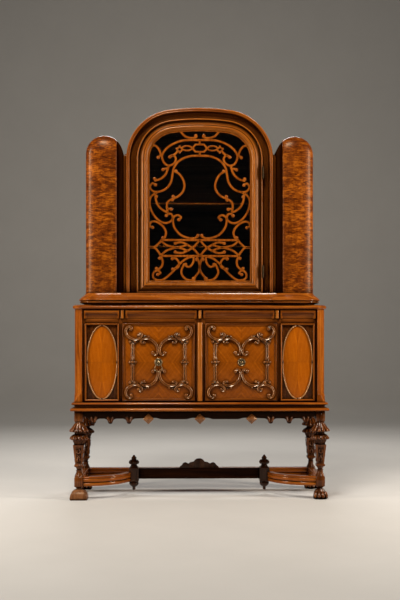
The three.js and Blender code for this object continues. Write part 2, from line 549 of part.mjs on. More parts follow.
// The glazed door: its section runs over the arch and along the bottom rail, with a rebate behind for the glass.
const DOOR_FLOOR = LEDGE_TOP + 1;
const DOOR_BACK = CASE_LINE - 2;
const REBATE = 96; // offset of the glass rebate
const GLASS_FACE = ARCH_FACE + 12;
const doorFoot = (offset) => DOOR_FLOOR + offset - DOOR_OFFSET;
const doorSection = [[DOOR_OFFSET, ARCH_FACE - 1], [57, ARCH_FACE - 1], [59, ARCH_FACE + 1], [80, ARCH_FACE + 1],
  [81, ARCH_FACE + 6], [87, ARCH_FACE + 6], [88, ARCH_FACE - 4], [91, ARCH_FACE - 7], [95, ARCH_FACE - 7],
  [98, ARCH_FACE - 4], [99, ARCH_FACE + 2], [GLASS_OFFSET, ARCH_FACE + 7], [GLASS_OFFSET, GLASS_FACE],
  [REBATE, GLASS_FACE], [REBATE, DOOR_BACK], [DOOR_OFFSET, DOOR_BACK]];
const lockX = -287;
const lockZ = 1359;
const keyway = box(lockX - 2, lockX + 2, ARCH_FACE - 1, DOOR_BACK + 1, lockZ - 7, lockZ + 5);
add("glass_door_frame", cut(archMoulding(doorSection, doorFoot, true), keyway), walnut);
const pane = arch(REBATE + GAP, doorFoot(REBATE + GAP));
add("door_glass", slab(pane, GLASS_FACE + GAP, GLASS_FACE + GAP + 3), glass);

// The lock: a case on the back of the stile with a bolt that passes behind the face frame.
const LOCK_FRONT = DOOR_BACK + GAP;
const lockBox = box(-299, -262, LOCK_FRONT, LOCK_FRONT + 13, lockZ - 29, lockZ + 25);
const boltSlot = box(-300, -268, LOCK_FRONT + 4, LOCK_FRONT + 10, lockZ - 10, lockZ + 10);
const keySlot = box(lockX - 2, lockX + 2, LOCK_FRONT - 1, LOCK_FRONT + 5, lockZ - 7, lockZ + 5);
add("lock_case", cut(lockBox, boltSlot, keySlot), iron);
const boltBar = box(-299, -277, LOCK_FRONT + 4 + GAP, LOCK_FRONT + 10 - GAP, lockZ - 10 + GAP, lockZ + 10 - GAP);
add("lock_bolt", boltBar, brass);
const keyPlate = slab([[0, 9], [3.5, 6.5], [3.5, -5], [0, -9], [-3.5, -5], [-3.5, 6.5]].map(([x, z]) => [lockX + x, lockZ + z]),
  ARCH_FACE - 0.4, ARCH_FACE + 1 - GAP);
add("key_escutcheon", cut(keyPlate, box(lockX - 1.5, lockX + 1.5, ARCH_FACE - 2, ARCH_FACE, lockZ - 4, lockZ + 4)), brass);

// Door hinges: the fixed leaf carries the outer knuckles and the pin; the moving leaf turns between them.
const HINGE_X = 301;
const HINGE_Y = ARCH_FACE - 6;
const HINGE_R = 4;
const HINGE_LONG = 60;
for (const [name, z] of [["upper", 1551], ["lower", 1079]]) {
  const [z0, z1] = [z - HINGE_LONG / 2, z + HINGE_LONG / 2];
  const knuckle = (from, to) => pin(HINGE_R, HINGE_X, HINGE_Y, from, to);
  const leafFixed = box(HINGE_X + 0.15, HINGE_X + 0.8, HINGE_Y, FACE_BACK, z0, z1);
  const space = pin(HINGE_R + GAP, HINGE_X, HINGE_Y, z - 11, z + 11);
  const fixed = join(cut(join(leafFixed, knuckle(z0, z1)), space), pin(1.5, HINGE_X, HINGE_Y, z0, z1));
  add(`hinge_${name}_fixed`, fixed, brass);
  const moving = join(box(HINGE_X - 0.8, HINGE_X - 0.15, HINGE_Y, DOOR_BACK, z0, z1), knuckle(z - 10.6, z + 10.6));
  const clear = [[z0 - 1, z - 10.7], [z + 10.7, z1 + 1]].map(([from, to]) => pin(HINGE_R + GAP, HINGE_X, HINGE_Y, from, to));
  add(`hinge_${name}_moving`, cut(moving, pin(1.8, HINGE_X, HINGE_Y, z - 12, z + 12), ...clear), brass);
}

// Two shelves behind the door.
const SHELF_HALF = ARCH_HALF - 16 - GAP;
for (const [name, z] of [["lower", 1203], ["upper", 1409]]) {
  add(`display_shelf_${name}`, box(-SHELF_HALF, SHELF_HALF, -100, UPPER_BACK, z - 4.5, z + 4.5), walnut);
}

// ---------- Fretwork ----------
// Pierced scrollwork in front of the glass. Each stroke is listed for one half as [distance from the
// centre line, height above the floor]; the other half mirrors it.
const FRET_HALF = 4.5; // half width of a strap
const FRET_BALL = 7.5; // scroll ends
const FRET_BACK = GLASS_FACE - GAP;
const FRET_FRONT = FRET_BACK - 6;
const BAR_UPPER = 1230;
const BAR_LOWER = 1154;
const straps = {
  topScroll: [[92, 1748], [70, 1725], [44, 1717], [22, 1719], [13, 1727]],
  upperBand: [[0, 1707], [45, 1707], [88, 1703], [135, 1684], [167, 1657], [180, 1628], [169, 1597], [146, 1585],
    [122, 1597], [114, 1618], [126, 1634], [143, 1629]],
  lowerBand: [[0, 1632], [41, 1631], [80, 1619], [106, 1600], [124, 1573], [130, 1542], [138, 1505], [161, 1475],
    [195, 1460], [224, 1463], [237, 1482], [227, 1500], [212, 1495]],
  outerHook: [[243, 1672], [214, 1680], [195, 1662], [186, 1636], [197, 1626]],
  upperLeaf: [[148, 1582], [157, 1555], [169, 1536], [190, 1520], [217, 1512]],
  innerScroll: [[124, 1560], [98, 1545], [80, 1518], [73, 1490], [80, 1463], [101, 1440], [127, 1428], [150, 1414],
    [157, 1393], [153, 1362]],
  outerCrescent: [[200, 1460], [232, 1437], [239, 1403], [228, 1364], [203, 1330], [172, 1312], [146, 1315], [129, 1332],
    [136, 1354], [157, 1354]],
  innerCrescent: [[212, 1456], [209, 1421], [195, 1390], [172, 1370], [150, 1362]],
  lowerBowl: [[100, 1330], [89, 1338], [106, 1349], [126, 1337], [127, 1309], [117, 1283], [93, 1256], [62, 1242],
    [30, 1238], [8, 1248]],
  cornerScroll: [[226, 1290], [240, 1298], [232, 1315], [211, 1318], [185, 1304], [167, 1283], [161, 1262], [169, 1238]],
  barUpper: [[0, BAR_UPPER], [182, BAR_UPPER]],
  barLower: [[0, BAR_LOWER], [190, BAR_LOWER]],
  endUpper: [[180, 1232], [195, 1214], [216, 1197], [246, 1195]],
  endLower: [[246, 1195], [216, 1193], [200, 1178], [186, 1156]],
  crossFalling: [[0, 1230], [28, 1199], [57, 1180], [88, 1168], [117, 1172]],
  crossRising: [[0, 1154], [28, 1186], [57, 1206], [88, 1219], [117, 1215]],
  braidFalling: [[188, 1230], [161, 1207], [125, 1197], [93, 1192], [57, 1178]],
  braidRising: [[188, 1154], [161, 1178], [125, 1191], [93, 1197], [57, 1208]],
  lowerHook: [[188, 1156], [177, 1131], [180, 1107], [198, 1088]],
  sweep: [[199, 1066], [188, 1073], [201, 1085], [220, 1074], [222, 1052], [203, 1039], [174, 1042], [140, 1068],
    [109, 1102], [83, 1128], [57, 1145], [28, 1152]],
  smallHook: [[131, 1143], [112, 1141], [99, 1120], [105, 1099], [129, 1092]],
  curl: [[28, 1152], [32, 1123], [49, 1103], [70, 1108]],
  loop: [[74, 1118], [88, 1081], [79, 1055], [57, 1040], [28, 1040], [22, 1055], [5, 1078], [0, 1102], [5, 1128], [14, 1150]],
};
const balls = [[19, 1728], [143, 1626], [211, 1493], [198, 1624], [175, 1566], [215, 1522], [114, 1559], [127, 1438],
  [131, 1421], [136, 1377], [207, 1437], [159, 1347], [100, 1327], [9, 1252], [225, 1290], [176, 1241], [117, 1173],
  [117, 1214], [191, 1143], [206, 1094], [200, 1066], [15, 1137], [131, 1141], [129, 1091], [68, 1114], [30, 1047]];
const links = [[143, 1626, 118, 1640], [118, 1640, 105, 1655], [174, 1568, 154, 1572], [133, 1377, 156, 1380],
  [207, 1437, 210, 1424], [15, 1137, 5, 1154], [0, 1690, 0, 1707], [0, 1632, 0, 1650]];

// A strap of even width along a line of points.
function ribbon(points, half) {
  const edges = [[], []];
  points.forEach(([x, z], i) => {
    const [ax, az] = points[Math.max(i - 1, 0)];
    const [bx, bz] = points[Math.min(i + 1, points.length - 1)];
    const long = Math.hypot(bx - ax, bz - az);
    const [nx, nz] = [(-(bz - az) * half) / long, ((bx - ax) * half) / long];
    edges[0].push([x + nx, z + nz]);
    edges[1].push([x - nx, z - nz]);
  });
  return [...edges[0], ...edges[1].reverse()];
}
const ellipse = (x, z, rx, rz, sides) => Array.from({ length: sides }, (_, i) => {
  const turn = (2 * Math.PI * (i + 0.5)) / sides;
  return [x + rx * Math.cos(turn), z + rz * Math.sin(turn)];
});
function fretHalf(side) {
  const flat = (outline) => slab(mirrored(outline, side), FRET_FRONT, FRET_BACK);
  const hole = (outline) => slab(mirrored(outline, side), FRET_FRONT - 1, FRET_BACK + 1);
  const pieces = Object.values(straps).map((points) => flat(ribbon(points, FRET_HALF)));
  pieces.push(...balls.map(([x, z]) => flat(ellipse(x, z, FRET_BALL, FRET_BALL, 6))));
  pieces.push(...links.map(([x0, z0, x1, z1]) => flat(ribbon([[x0, z0], [x1, z1]], FRET_HALF))));
  // The chain between the two bands: a knot, a long link, and half of the centre cartouche.
  const chain = [flat(ellipse(96, 1662, 16, 15, 8)), flat(ellipse(61, 1668, 27, 15, 10)),
    flat([[-1, 1692], [26, 1692], [26, 1684], [36, 1678], [36, 1658], [26, 1652], [26, 1645], [-1, 1645]])];
  const gaps = [hole(ellipse(96, 1662, 7, 6, 6)), hole(ellipse(61, 1668, 19, 7, 8)),
    hole([[-2, 1678], [15, 1678], [22, 1672], [22, 1664], [15, 1658], [-2, 1658]])];
  return join(...pieces, cut(join(...chain), ...gaps));
}
const opening = slab(arch(GLASS_OFFSET + GAP, doorFoot(GLASS_OFFSET + GAP)), FRET_FRONT - 2, FRET_BACK + 2);
const lining = slab(arch(GLASS_OFFSET + GAP, doorFoot(GLASS_OFFSET + GAP)), FRET_FRONT, FRET_BACK);
const inLining = slab(arch(GLASS_OFFSET + 5, doorFoot(GLASS_OFFSET + 5)), FRET_FRONT - 1, FRET_BACK + 1);
const fretwork = join(cut(lining, inLining), fretHalf(-1), fretHalf(1)).intersect(opening);
add("door_fretwork", fretwork, walnut);

export default cabinet;
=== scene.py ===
"""The looks of a display cabinet on a carved stand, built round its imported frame. Lengths below are in
millimetres; the mesh helpers turn them into metres."""

import math

import bpy
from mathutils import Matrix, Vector


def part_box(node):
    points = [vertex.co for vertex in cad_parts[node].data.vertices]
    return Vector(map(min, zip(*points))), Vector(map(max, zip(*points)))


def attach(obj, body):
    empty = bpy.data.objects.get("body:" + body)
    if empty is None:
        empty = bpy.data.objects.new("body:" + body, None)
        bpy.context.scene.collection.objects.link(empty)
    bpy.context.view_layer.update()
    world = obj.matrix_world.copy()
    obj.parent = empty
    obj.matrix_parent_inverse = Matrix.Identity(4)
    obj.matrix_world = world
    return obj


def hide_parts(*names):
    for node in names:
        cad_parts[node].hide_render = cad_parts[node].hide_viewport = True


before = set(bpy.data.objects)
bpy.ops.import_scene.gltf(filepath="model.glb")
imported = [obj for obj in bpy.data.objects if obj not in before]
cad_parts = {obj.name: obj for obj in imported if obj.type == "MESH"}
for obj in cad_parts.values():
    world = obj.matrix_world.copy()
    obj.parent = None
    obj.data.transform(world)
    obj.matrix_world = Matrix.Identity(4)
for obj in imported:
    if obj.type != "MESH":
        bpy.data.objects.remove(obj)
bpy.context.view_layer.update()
MM = 0.001
TURN = 2 * math.pi
SIDES = (("left", -1), ("right", 1))


def span(node):
    """A node's lowest and highest corners in millimetres."""
    low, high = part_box(node)
    return [v / MM for v in low], [v / MM for v in high]


# ---------- Outlines and sections ----------
def fillet(points, radius, steps=3, closed=True):
    """The polygon with each corner rounded, by less where an edge is too short."""
    rounded = []
    count = len(points)
    for i, here in enumerate(points):
        if not closed and i in (0, count - 1):
            rounded.append(tuple(here))
            continue
        corner = Vector(here)
        before = Vector(points[i - 1]) - corner
        after = Vector(points[(i + 1) % count]) - corner
        reach = min(radius, before.length * 0.48, after.length * 0.48)
        start = corner + before.normalized() * reach
        end = corner + after.normalized() * reach
        for k in range(steps + 1):
            t = k / steps
            rounded.append(tuple(start * (1 - t) ** 2 + corner * 2 * t * (1 - t) + end * t ** 2))
    return rounded


def smooth_path(points, steps=6):
    """A Catmull-Rom curve through the points, as (point, tangent, share of the way along)."""
    vectors = [Vector(p) for p in points]
    padded = [vectors[0] * 2 - vectors[1]] + vectors + [vectors[-1] * 2 - vectors[-2]]
    curve = []
    for i in range(1, len(padded) - 2):
        a, b, c, d = padded[i - 1 : i + 3]
        for k in range(steps):
            t = k / steps
            bend = (a * 2 - b * 5 + c * 4 - d) * t ** 2 + (b * 3 - a - c * 3 + d) * t ** 3
            curve.append((b * 2 + (c - a) * t + bend) * 0.5)
    curve.append(vectors[-1])
    last = len(curve) - 1
    return [(p, (curve[min(i + 1, last)] - curve[max(i - 1, 0)]).normalized(), i / last)
            for i, p in enumerate(curve)]


def circle(x, y, radius, sides, radius_y=None):
    turns = [TURN * k / sides for k in range(sides)]
    return [(x + radius * math.cos(t), y + (radius_y or radius) * math.sin(t)) for t in turns]


def mirrored(points, side):
    return [(p[0] * side, *p[1:]) for p in points]


def both_sides(right):
    """A closed outline from its right half."""
    return list(right) + mirrored(right, -1)[::-1]


def raised(rows, by):
    """The rows with their second number raised."""
    return [(a, b + by, *rest) for a, b, *rest in rows]


def at_level(points, z):
    return [(x, y, z) for x, y in points]


def at_depth(points, y):
    return [(x, y, z) for x, z in points]


# ---------- Meshes ----------
def finish_piece(name, vertices, faces, material, uvs, body="cabinet", slot="walnut", sharp=38, node=None):
    """Makes the piece, which rides on a body and stands for a CAD node if one is named."""
    mesh = bpy.data.meshes.new(name)
    mesh.from_pydata([tuple(c * MM for c in v) for v in vertices], [], faces)
    mesh.validate()
    layer = mesh.uv_layers.new(name="grain")
    for polygon in mesh.polygons:
        for loop in polygon.loop_indices:
            layer.data[loop].uv = uvs[mesh.loops[loop].vertex_index]
    mesh.polygons.foreach_set("use_smooth", [True] * len(mesh.polygons))
    mesh.set_sharp_from_angle(angle=math.radians(sharp))
    piece = bpy.data.objects.new(name, mesh)
    bpy.context.scene.collection.objects.link(piece)
    mesh.materials.append(material)
    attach(piece, body)
    if node:
        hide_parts(node)
    return piece


def skin(rings, closed=False, first=0):
    """Faces between rings of equal length, capped at both ends unless the path is closed, outward facing."""
    count = len(rings[0])
    total = len(rings)
    faces = []
    for i in range(total if closed else total - 1):
        a, b = first + i * count, first + (i + 1) % total * count
        for k in range(count):
            m = (k + 1) % count
            faces.append([a + k, a + m, b + m, b + k])
    if not closed:
        faces.append([first + k for k in reversed(range(count))])
        faces.append([first + (total - 1) * count + k for k in range(count)])
    volume = 0.0
    flat = [Vector(p) for ring in rings for p in ring]
    centre = sum(flat, Vector()) / len(flat)
    for face in faces:
        corners = [flat[v - first] - centre for v in face]
        for a, b in zip(corners[1:-1], corners[2:]):
            volume += corners[0].dot(a.cross(b))
    return faces if volume >= 0 else [face[::-1] for face in faces]


def ring_uvs(rings):
    """Metres along the path and round the section, for grain that follows a moulding."""
    uvs = []
    along = 0.0
    for i, ring in enumerate(rings):
        if i:
            along += sum((Vector(a) - Vector(b)).length for a, b in zip(ring, rings[i - 1])) / len(ring) * MM
        across = 0.0
        for k, point in enumerate(ring):
            if k:
                across += (Vector(point) - Vector(ring[k - 1])).length * MM
            uvs.append((along, across))
    return uvs


def loft(name, rings, material, closed=False, **options):
    vertices = [p for ring in rings for p in ring]
    return finish_piece(name, vertices, skin(rings, closed), material, ring_uvs(rings), **options)


def group(name, shells, material, **options):
    """Several closed lofts as one piece."""
    vertices, faces, uvs = [], [], []
    for rings in shells:
        faces += skin(rings, False, len(vertices))
        vertices += [p for ring in rings for p in ring]
        uvs += ring_uvs(rings)
    return finish_piece(name, vertices, faces, material, uvs, **options)


def stack(outline, levels):
    """Rings of an (x, z) outline at several depths: levels rows are (y, offset)."""
    return [at_depth(outline(offset), y) for y, offset in levels]


def extruded(section, ends):
    """A (y, z) section run from one x to another."""
    return [[(x, y, z) for y, z in section] for x in ends]


def turned_rings(profile, x, y, sides=40, radius=2, steps=3):
    """Rings of a turned piece on a vertical axis, its profile corners softened."""
    return [at_level(circle(x, y, r, sides), z) for r, z in fillet(profile, radius, steps, closed=False)]


def box_rings(x0, x1, y0, y1, z0, z1, edge=0.8):
    """A box with softened edges, as rings along z."""
    x0, x1 = sorted((x0, x1))
    y0, y1 = sorted((y0, y1))
    rings = []
    rim = ((edge, 0), (edge * 0.3, edge * 0.3), (0, edge))
    for inset, z in [(i, z0 + up) for i, up in rim] + [(i, z1 - up) for i, up in rim[::-1]]:
        a, b, c, d = x0 + inset, x1 - inset, y0 + inset, y1 - inset
        rings.append(at_level(fillet([(b, c), (b, d), (a, d), (a, c)], edge, 2), z))
    return rings


def swept(points, section, back, steps, shape):
    """A section swept along (x, z) points in a front plane: shape(share) gives its half width and depth."""
    rings = []
    for p, tangent, share in smooth_path(points, steps):
        width, depth = shape(share)
        rings.append([(p.x - tangent.y * a * width, back + depth * b, p.y + tangent.x * a * width)
                      for a, b in section])
    return rings


def strap_rings(points, half_width, back, front, steps=6):
    """A flat strap with soft edges."""
    half = [(-1, 0), (-1, 0.65), (-0.8425, 0.9125), (-0.44, 1)]
    return swept(points, both_sides(half), back, steps, lambda share: (half_width, front - back))


def dome_rings(x, z, radius, back, front, sides=16):
    """A round button that faces front, with a domed face."""
    profile = ((0, 1), (0.45, 1), (0.72, 0.93), (0.9, 0.75), (0.98, 0.5), (1, 0.2))
    return [at_depth(circle(x, z, radius * r, sides), back + (front - back) * share) for share, r in profile]


# ---------- Materials ----------
class Nodes:
    """Short names for building one material's node tree."""

    def __init__(self, name):
        self.material = bpy.data.materials.new(name)
        self.material.use_nodes = True
        self.tree = self.material.node_tree
        self.shader = self.tree.nodes["Principled BSDF"]

    def add(self, kind, inputs=None, **settings):
        node = self.tree.nodes.new("ShaderNode" + kind)
        for key, value in settings.items():
            setattr(node, key, value)
        for key, value in (inputs or {}).items():
            self.feed(node.inputs[key], value)
        return node

    def feed(self, socket, value):
        if hasattr(value, "links"):
            self.tree.links.new(value, socket)
        else:
            socket.default_value = value

    def finish(self, bump, **values):
        """Feeds the shader: Base_Color is the socket Base Color. bump is (height, strength, distance)."""
        for key, value in values.items():
            self.feed(self.shader.inputs[key.replace("_", " ")], value)
        if bump:
            height, strength, distance = bump
            node = self.add("Bump", {"Height": height, "Strength": strength, "Distance": distance})
            self.feed(self.shader.inputs["Normal"], node.outputs[0])
        return self.material

    def math(self, operation, a, b=0.0, c=0.0):
        return self.add("Math", {0: a, 1: b, 2: c}, operation=operation).outputs[0]

    def plus(self, a, b):
        return self.math("ADD", a, b)

    def minus(self, a, b):
        return self.math("SUBTRACT", a, b)

    def times(self, a, b):
        return self.math("MULTIPLY", a, b)

    def size(self, a):
        return self.math("ABSOLUTE", a)

    def place(self):
        return self.add("TexCoord").outputs["Object"]

    def split(self, vector):
        return self.add("SeparateXYZ", {0: vector}).outputs

    def join(self, x, y=0.0, z=0.0):
        return self.add("CombineXYZ", {0: x, 1: y, 2: z}).outputs[0]

    def mix(self, factor, a, b):
        node = self.add("Mix", data_type="RGBA")
        for index, value in ((0, factor), (6, a), (7, b)):
            self.feed(node.inputs[index], value)
        return node.outputs[2]

    def noise(self, vector, scale, detail=4.0, roughness=0.55, distortion=0.0):
        inputs = {"Vector": vector, "Scale": scale, "Detail": detail, "Roughness": roughness,
                  "Distortion": distortion}
        return self.add("TexNoise", inputs).outputs["Fac"]

    def grain(self, vector, along, across, *settings):
        """Noise with its own scale along the grain and across it, per metre."""
        stretched = self.add("Mapping", {"Vector": vector, "Scale": (along, across, across)}).outputs[0]
        return self.noise(stretched, *settings)

    def ramp(self, factor, stops):
        node = self.add("ValToRGB", {"Fac": factor})
        elements = node.color_ramp.elements
        while len(elements) < len(stops):
            elements.new(0.5)
        for element, (place, colour) in zip(elements, stops):
            element.position = place
            element.color = (*colour, 1.0)
        return node.outputs["Color"]

    def range(self, value, low, high, to_low=0.0, to_high=1.0):
        inputs = {"Value": value, "From Min": low, "From Max": high, "To Min": to_low, "To Max": to_high}
        return self.add("MapRange", inputs).outputs[0]

    def recess(self, reach):
        """1 in the open, less in a recess narrower than the reach in millimetres."""
        return self.add("AmbientOcclusion", {"Distance": reach * MM}, samples=6).outputs["AO"]


def dimmed(colour, share):
    return (*[c * share for c in colour], 1.0)


def grain_space(n, source, along):
    """Coordinates in metres with X along the grain. source: uv, object, or the centre of matched leaves."""
    if source == "uv":
        flat = n.split(n.add("UVMap", uv_map="grain").outputs[0])
        return n.join(flat["X"], flat["Y"], n.times(n.split(n.place())["Y"], 0.15))
    x, y, z = n.split(n.place())
    if source == "object":
        return n.join(*{"x": (x, y, z), "z": (z, x, y)}[along])
    from_x = n.size(n.minus(x, source[0] * MM))
    from_z = n.size(n.minus(z, source[1] * MM))
    slope = math.radians(along)
    with_grain = n.minus(n.times(from_x, math.cos(slope)), n.times(from_z, math.sin(slope)))
    across = n.plus(n.times(from_x, math.sin(slope)), n.times(from_z, math.cos(slope)))
    return n.join(with_grain, across)


def matched_quarters(n, colour, centre):
    """Four leaves of veneer that differ a little in tone, with a fine glue line between them."""
    x, _, z = n.split(n.place())
    from_x = n.minus(x, centre[0] * MM)
    from_z = n.minus(z, centre[1] * MM)
    differ = n.times(n.math("SIGN", from_x), n.math("SIGN", from_z))
    shade = n.math("MULTIPLY_ADD", differ, 0.5, 0.5)
    colour = n.mix(n.times(shade, 0.16), colour, (0.12, 0.028, 0.004, 1.0))
    nearest = n.math("MINIMUM", n.size(from_x), n.size(from_z))
    return n.mix(n.range(nearest, 0.0003, 0.0009, 0.35, 0.0), colour, (0.05, 0.012, 0.003, 1.0))


STREAK = 0.78


def wood(name, palette, source="object", along="z", figure=0.0, burl=0.0, gloss=0.24, recess_shade_amount=0.8, crevice=14,
         band=26.0, streak=STREAK, coat=0.15, specular=0.12, painted_shadow_inside=0):
    """Varnished wood: grain bands, fibres and pores, optional cross figure and burl, and painted shade in the
    recesses, where the colour darkens and the gloss goes. crevice is their width in mm; the wood nearer the
    middle than the painted-shadow distance in mm is painted dark as shadow."""
    dark, mid, light = palette
    n = Nodes(name)
    space = grain_space(n, source, along)
    drift = n.join(0.0, n.times(n.grain(space, 1.2, 4.0, 2.2, 2.0), 0.06))
    bend = n.add("VectorMath", {0: space, 1: drift}, operation="ADD").outputs[0]
    rings = n.grain(bend, 0.9, band, 2.0, 5.0, 0.62, 0.6)
    fibres = n.grain(bend, 9.0, 420.0, 1.0, 3.0, 0.6)
    pores = n.range(n.grain(bend, 26.0, 900.0, 1.0, 2.0, 0.5), 0.62, 0.74)
    streaks = n.math("MULTIPLY_ADD", rings, streak, (STREAK - streak) / 2)
    tone = n.plus(streaks, n.times(fibres, 1 - STREAK))
    if figure:
        broad = n.grain(space, 15.0, 8.0, 1.0, 3.0, 0.6, 1.6)
        ripple = n.grain(space, 125.0, 29.0, 1.0, 2.0, 0.6, 1.0)
        waves = n.plus(n.minus(broad, 0.5), n.times(n.minus(ripple, 0.5), 1.5))
        tone = n.plus(tone, n.times(waves, figure))
    if burl:
        knots = n.grain(space, 34.0, 34.0, 1.0, 6.0, 0.7, 2.2)
        clouds = n.grain(space, 7.0, 9.0, 1.0, 3.0, 0.6, 1.0)
        swirl = n.plus(n.times(n.minus(knots, 0.5), 1.1), n.times(n.minus(clouds, 0.5), 0.7))
        tone = n.plus(tone, n.times(swirl, burl))
    colour = n.ramp(tone, [(0.30, dark), (0.5, mid), (0.70, light)])
    colour = n.mix(n.times(pores, 0.45), colour, dimmed(dark, 0.45))
    if not isinstance(source, str):
        colour = matched_quarters(n, colour, source)
    age = n.grain(space, 3.0, 5.0, 1.0, 2.0)
    colour = n.mix(n.range(age, 0.35, 0.7, 0.0, 0.35), colour, dimmed(mid, 0.6))
    # Painted shade: where ambient occlusion finds a recess, the colour is darkened towards near-black and the
    # coat and specular are taken away.
    recess_shade = n.range(n.recess(crevice), 0.52, 0.98, recess_shade_amount, 0.0)
    # Painted shadow: wood nearer the middle in x than the given distance is darkened, as if shaded.
    if painted_shadow_inside:
        across = n.size(n.split(n.place())["X"])
        recess_shade = n.math("MAXIMUM", recess_shade, n.range(across, (painted_shadow_inside - 1) * MM, (painted_shadow_inside + 1) * MM, 0.92, 0.0))
    rub = n.range(n.grain(space, 14.0, 22.0, 1.0, 3.0, 0.6), 0.3, 0.7, gloss - 0.05, gloss + 0.1)
    unshaded = n.minus(1.0, recess_shade)
    relief = n.plus(n.times(fibres, 0.5), n.times(pores, -0.6))
    return n.finish((relief, 0.06, 0.0006),
                    Base_Color=n.mix(recess_shade, colour, dimmed(dark, 0.16)),
                    Roughness=n.plus(rub, n.times(recess_shade, 0.25)),
                    Coat_Weight=n.times(unshaded, coat),
                    Coat_Roughness=0.1,
                    Specular_IOR_Level=n.times(unshaded, specular),
                    Specular_Tint=(1.0, 0.74, 0.46, 1.0))


def metal(name, base, worn, roughness):
    n = Nodes(name)
    blotch = n.noise(n.place(), 160.0, 5.0, 0.65)
    colour = n.mix(n.range(blotch, 0.4, 0.62), (*base, 1.0), (*worn, 1.0))
    colour = n.mix(n.range(n.recess(3), 0.35, 0.95, 0.8, 0.0), colour, dimmed(base, 0.12))
    rub = n.range(n.noise(n.place(), 90.0, 4.0), 0.3, 0.7, roughness - 0.08, roughness + 0.16)
    return n.finish((blotch, 0.12, 0.0004), Base_Color=colour, Metallic=1.0, Roughness=rub)


def pane(name):
    n = Nodes(name)
    ripple = n.add("Mapping", {"Vector": n.place(), "Scale": (9.0, 9.0, 4.0)}).outputs[0]
    smears = n.range(n.noise(n.place(), 60.0, 4.0), 0.4, 0.7, 0.0, 0.03)
    return n.finish((n.noise(ripple, 1.0, 1.0), 0.02, 0.002), Base_Color=(0.93, 0.96, 0.95, 1.0),
                    Transmission_Weight=1.0, IOR=1.3, Roughness=smears)


WALNUT = ((0.055, 0.010, 0.001), (0.24, 0.056, 0.004), (0.46, 0.14, 0.013))
GOLD = ((0.24, 0.050, 0.001), (0.37, 0.084, 0.002), (0.50, 0.132, 0.004))
AMBER = ((0.16, 0.034, 0.001), (0.27, 0.061, 0.002), (0.41, 0.108, 0.005))
FLAME = ((0.035, 0.006, 0.001), (0.145, 0.029, 0.002), (0.40, 0.105, 0.006))
SHADED = ((0.030, 0.006, 0.001), (0.14, 0.033, 0.003), (0.28, 0.080, 0.009))
DARK = ((0.006, 0.0015, 0.0005), (0.034, 0.0085, 0.002), (0.10, 0.029, 0.007))
# DEEP is near-black walnut: the aprons' dark stain, and a painted shadow on the middle beam.
DEEP = ((0.003, 0.0008, 0.0003), (0.012, 0.003, 0.001), (0.036, 0.010, 0.003))
UV = {"source": "uv"}
# Each finish's recess-shade amount and crevice width set how much painted shade it gets in its recesses; the
# mouldings, columns and wings get the most.
rail_wood = wood("walnut_rails", WALNUT, along="x", recess_shade_amount=0.95, crevice=22, coat=0.3)
post_wood = wood("walnut_posts", WALNUT, recess_shade_amount=0.9, crevice=12, coat=0.2)
depth_wood = wood("walnut_sides", WALNUT, figure=0.12)
# Painted shadow: the wing fronts inside 396 mm from the middle, beside the columns, are painted near-black,
# and darkened further by a wide recess shade.
wing_wood = wood("wing_sides", WALNUT, figure=0.1, recess_shade_amount=1.0, crevice=75, painted_shadow_inside=396)
mould_wood = wood("walnut_mouldings", WALNUT, **UV, gloss=0.2, recess_shade_amount=1.0, crevice=55, coat=0.06, specular=0.24)
door_wood = wood("walnut_door_mouldings", ((0.07, 0.014, 0.0012), (0.27, 0.070, 0.005), (0.47, 0.150, 0.014)),
                 **UV, gloss=0.22, recess_shade_amount=1.0, crevice=30, coat=0.05, specular=0.4)
# Painted shade: the recessed frame faces and rails take the darker SHADED palette and strong recess shade, as
# if shaded by the doors and panels.
recess_wood = wood("recessed_frames", SHADED, gloss=0.3, recess_shade_amount=1.0, crevice=34, coat=0.1)
recess_rail_wood = wood("recessed_rails", SHADED, along="x", gloss=0.3, recess_shade_amount=1.0, crevice=34, coat=0.1)
rim_wood = wood("door_rims", SHADED, **UV, gloss=0.22, recess_shade_amount=1.0, crevice=12)
front_wood = wood("drawer_fronts", ((0.04, 0.008, 0.001), (0.19, 0.045, 0.004), (0.36, 0.105, 0.011)),
                  along="x", gloss=0.2, recess_shade_amount=1.0, crevice=16, coat=0.2)
# Painted highlight: the oval beads get a much paler palette and a strong coat, so they read as catching the
# light.
pale_highlight_bead_wood = wood("beads", ((0.16, 0.055, 0.014), (0.40, 0.18, 0.058), (0.60, 0.33, 0.13)),
                 **UV, gloss=0.13, recess_shade_amount=0.9, crevice=6, coat=0.8, specular=0.6)
stile_bead_wood = wood("stile_beads", ((0.10, 0.022, 0.003), (0.36, 0.105, 0.012), (0.56, 0.20, 0.035)),
                       gloss=0.2, recess_shade_amount=0.9, crevice=8, coat=0.1, specular=0.25)
carved_wood = wood("dark_carved_walnut", DARK, gloss=0.2, recess_shade_amount=0.97, crevice=16, coat=0.35)
leg_wood = wood("carved_legs", ((0.02, 0.005, 0.001), (0.10, 0.025, 0.004), (0.27, 0.085, 0.016)),
                gloss=0.15, recess_shade_amount=1.0, crevice=24, coat=0.4)
worn_wood = wood("worn_foot", ((0.06, 0.019, 0.006), (0.17, 0.062, 0.021), (0.30, 0.135, 0.055)),
                 gloss=0.35, recess_shade_amount=0.9, coat=0.05, specular=0.3)
apron_wood = wood("apron_walnut", DEEP, along="x", gloss=0.3, recess_shade_amount=0.95, crevice=20, coat=0.1, specular=0.1)
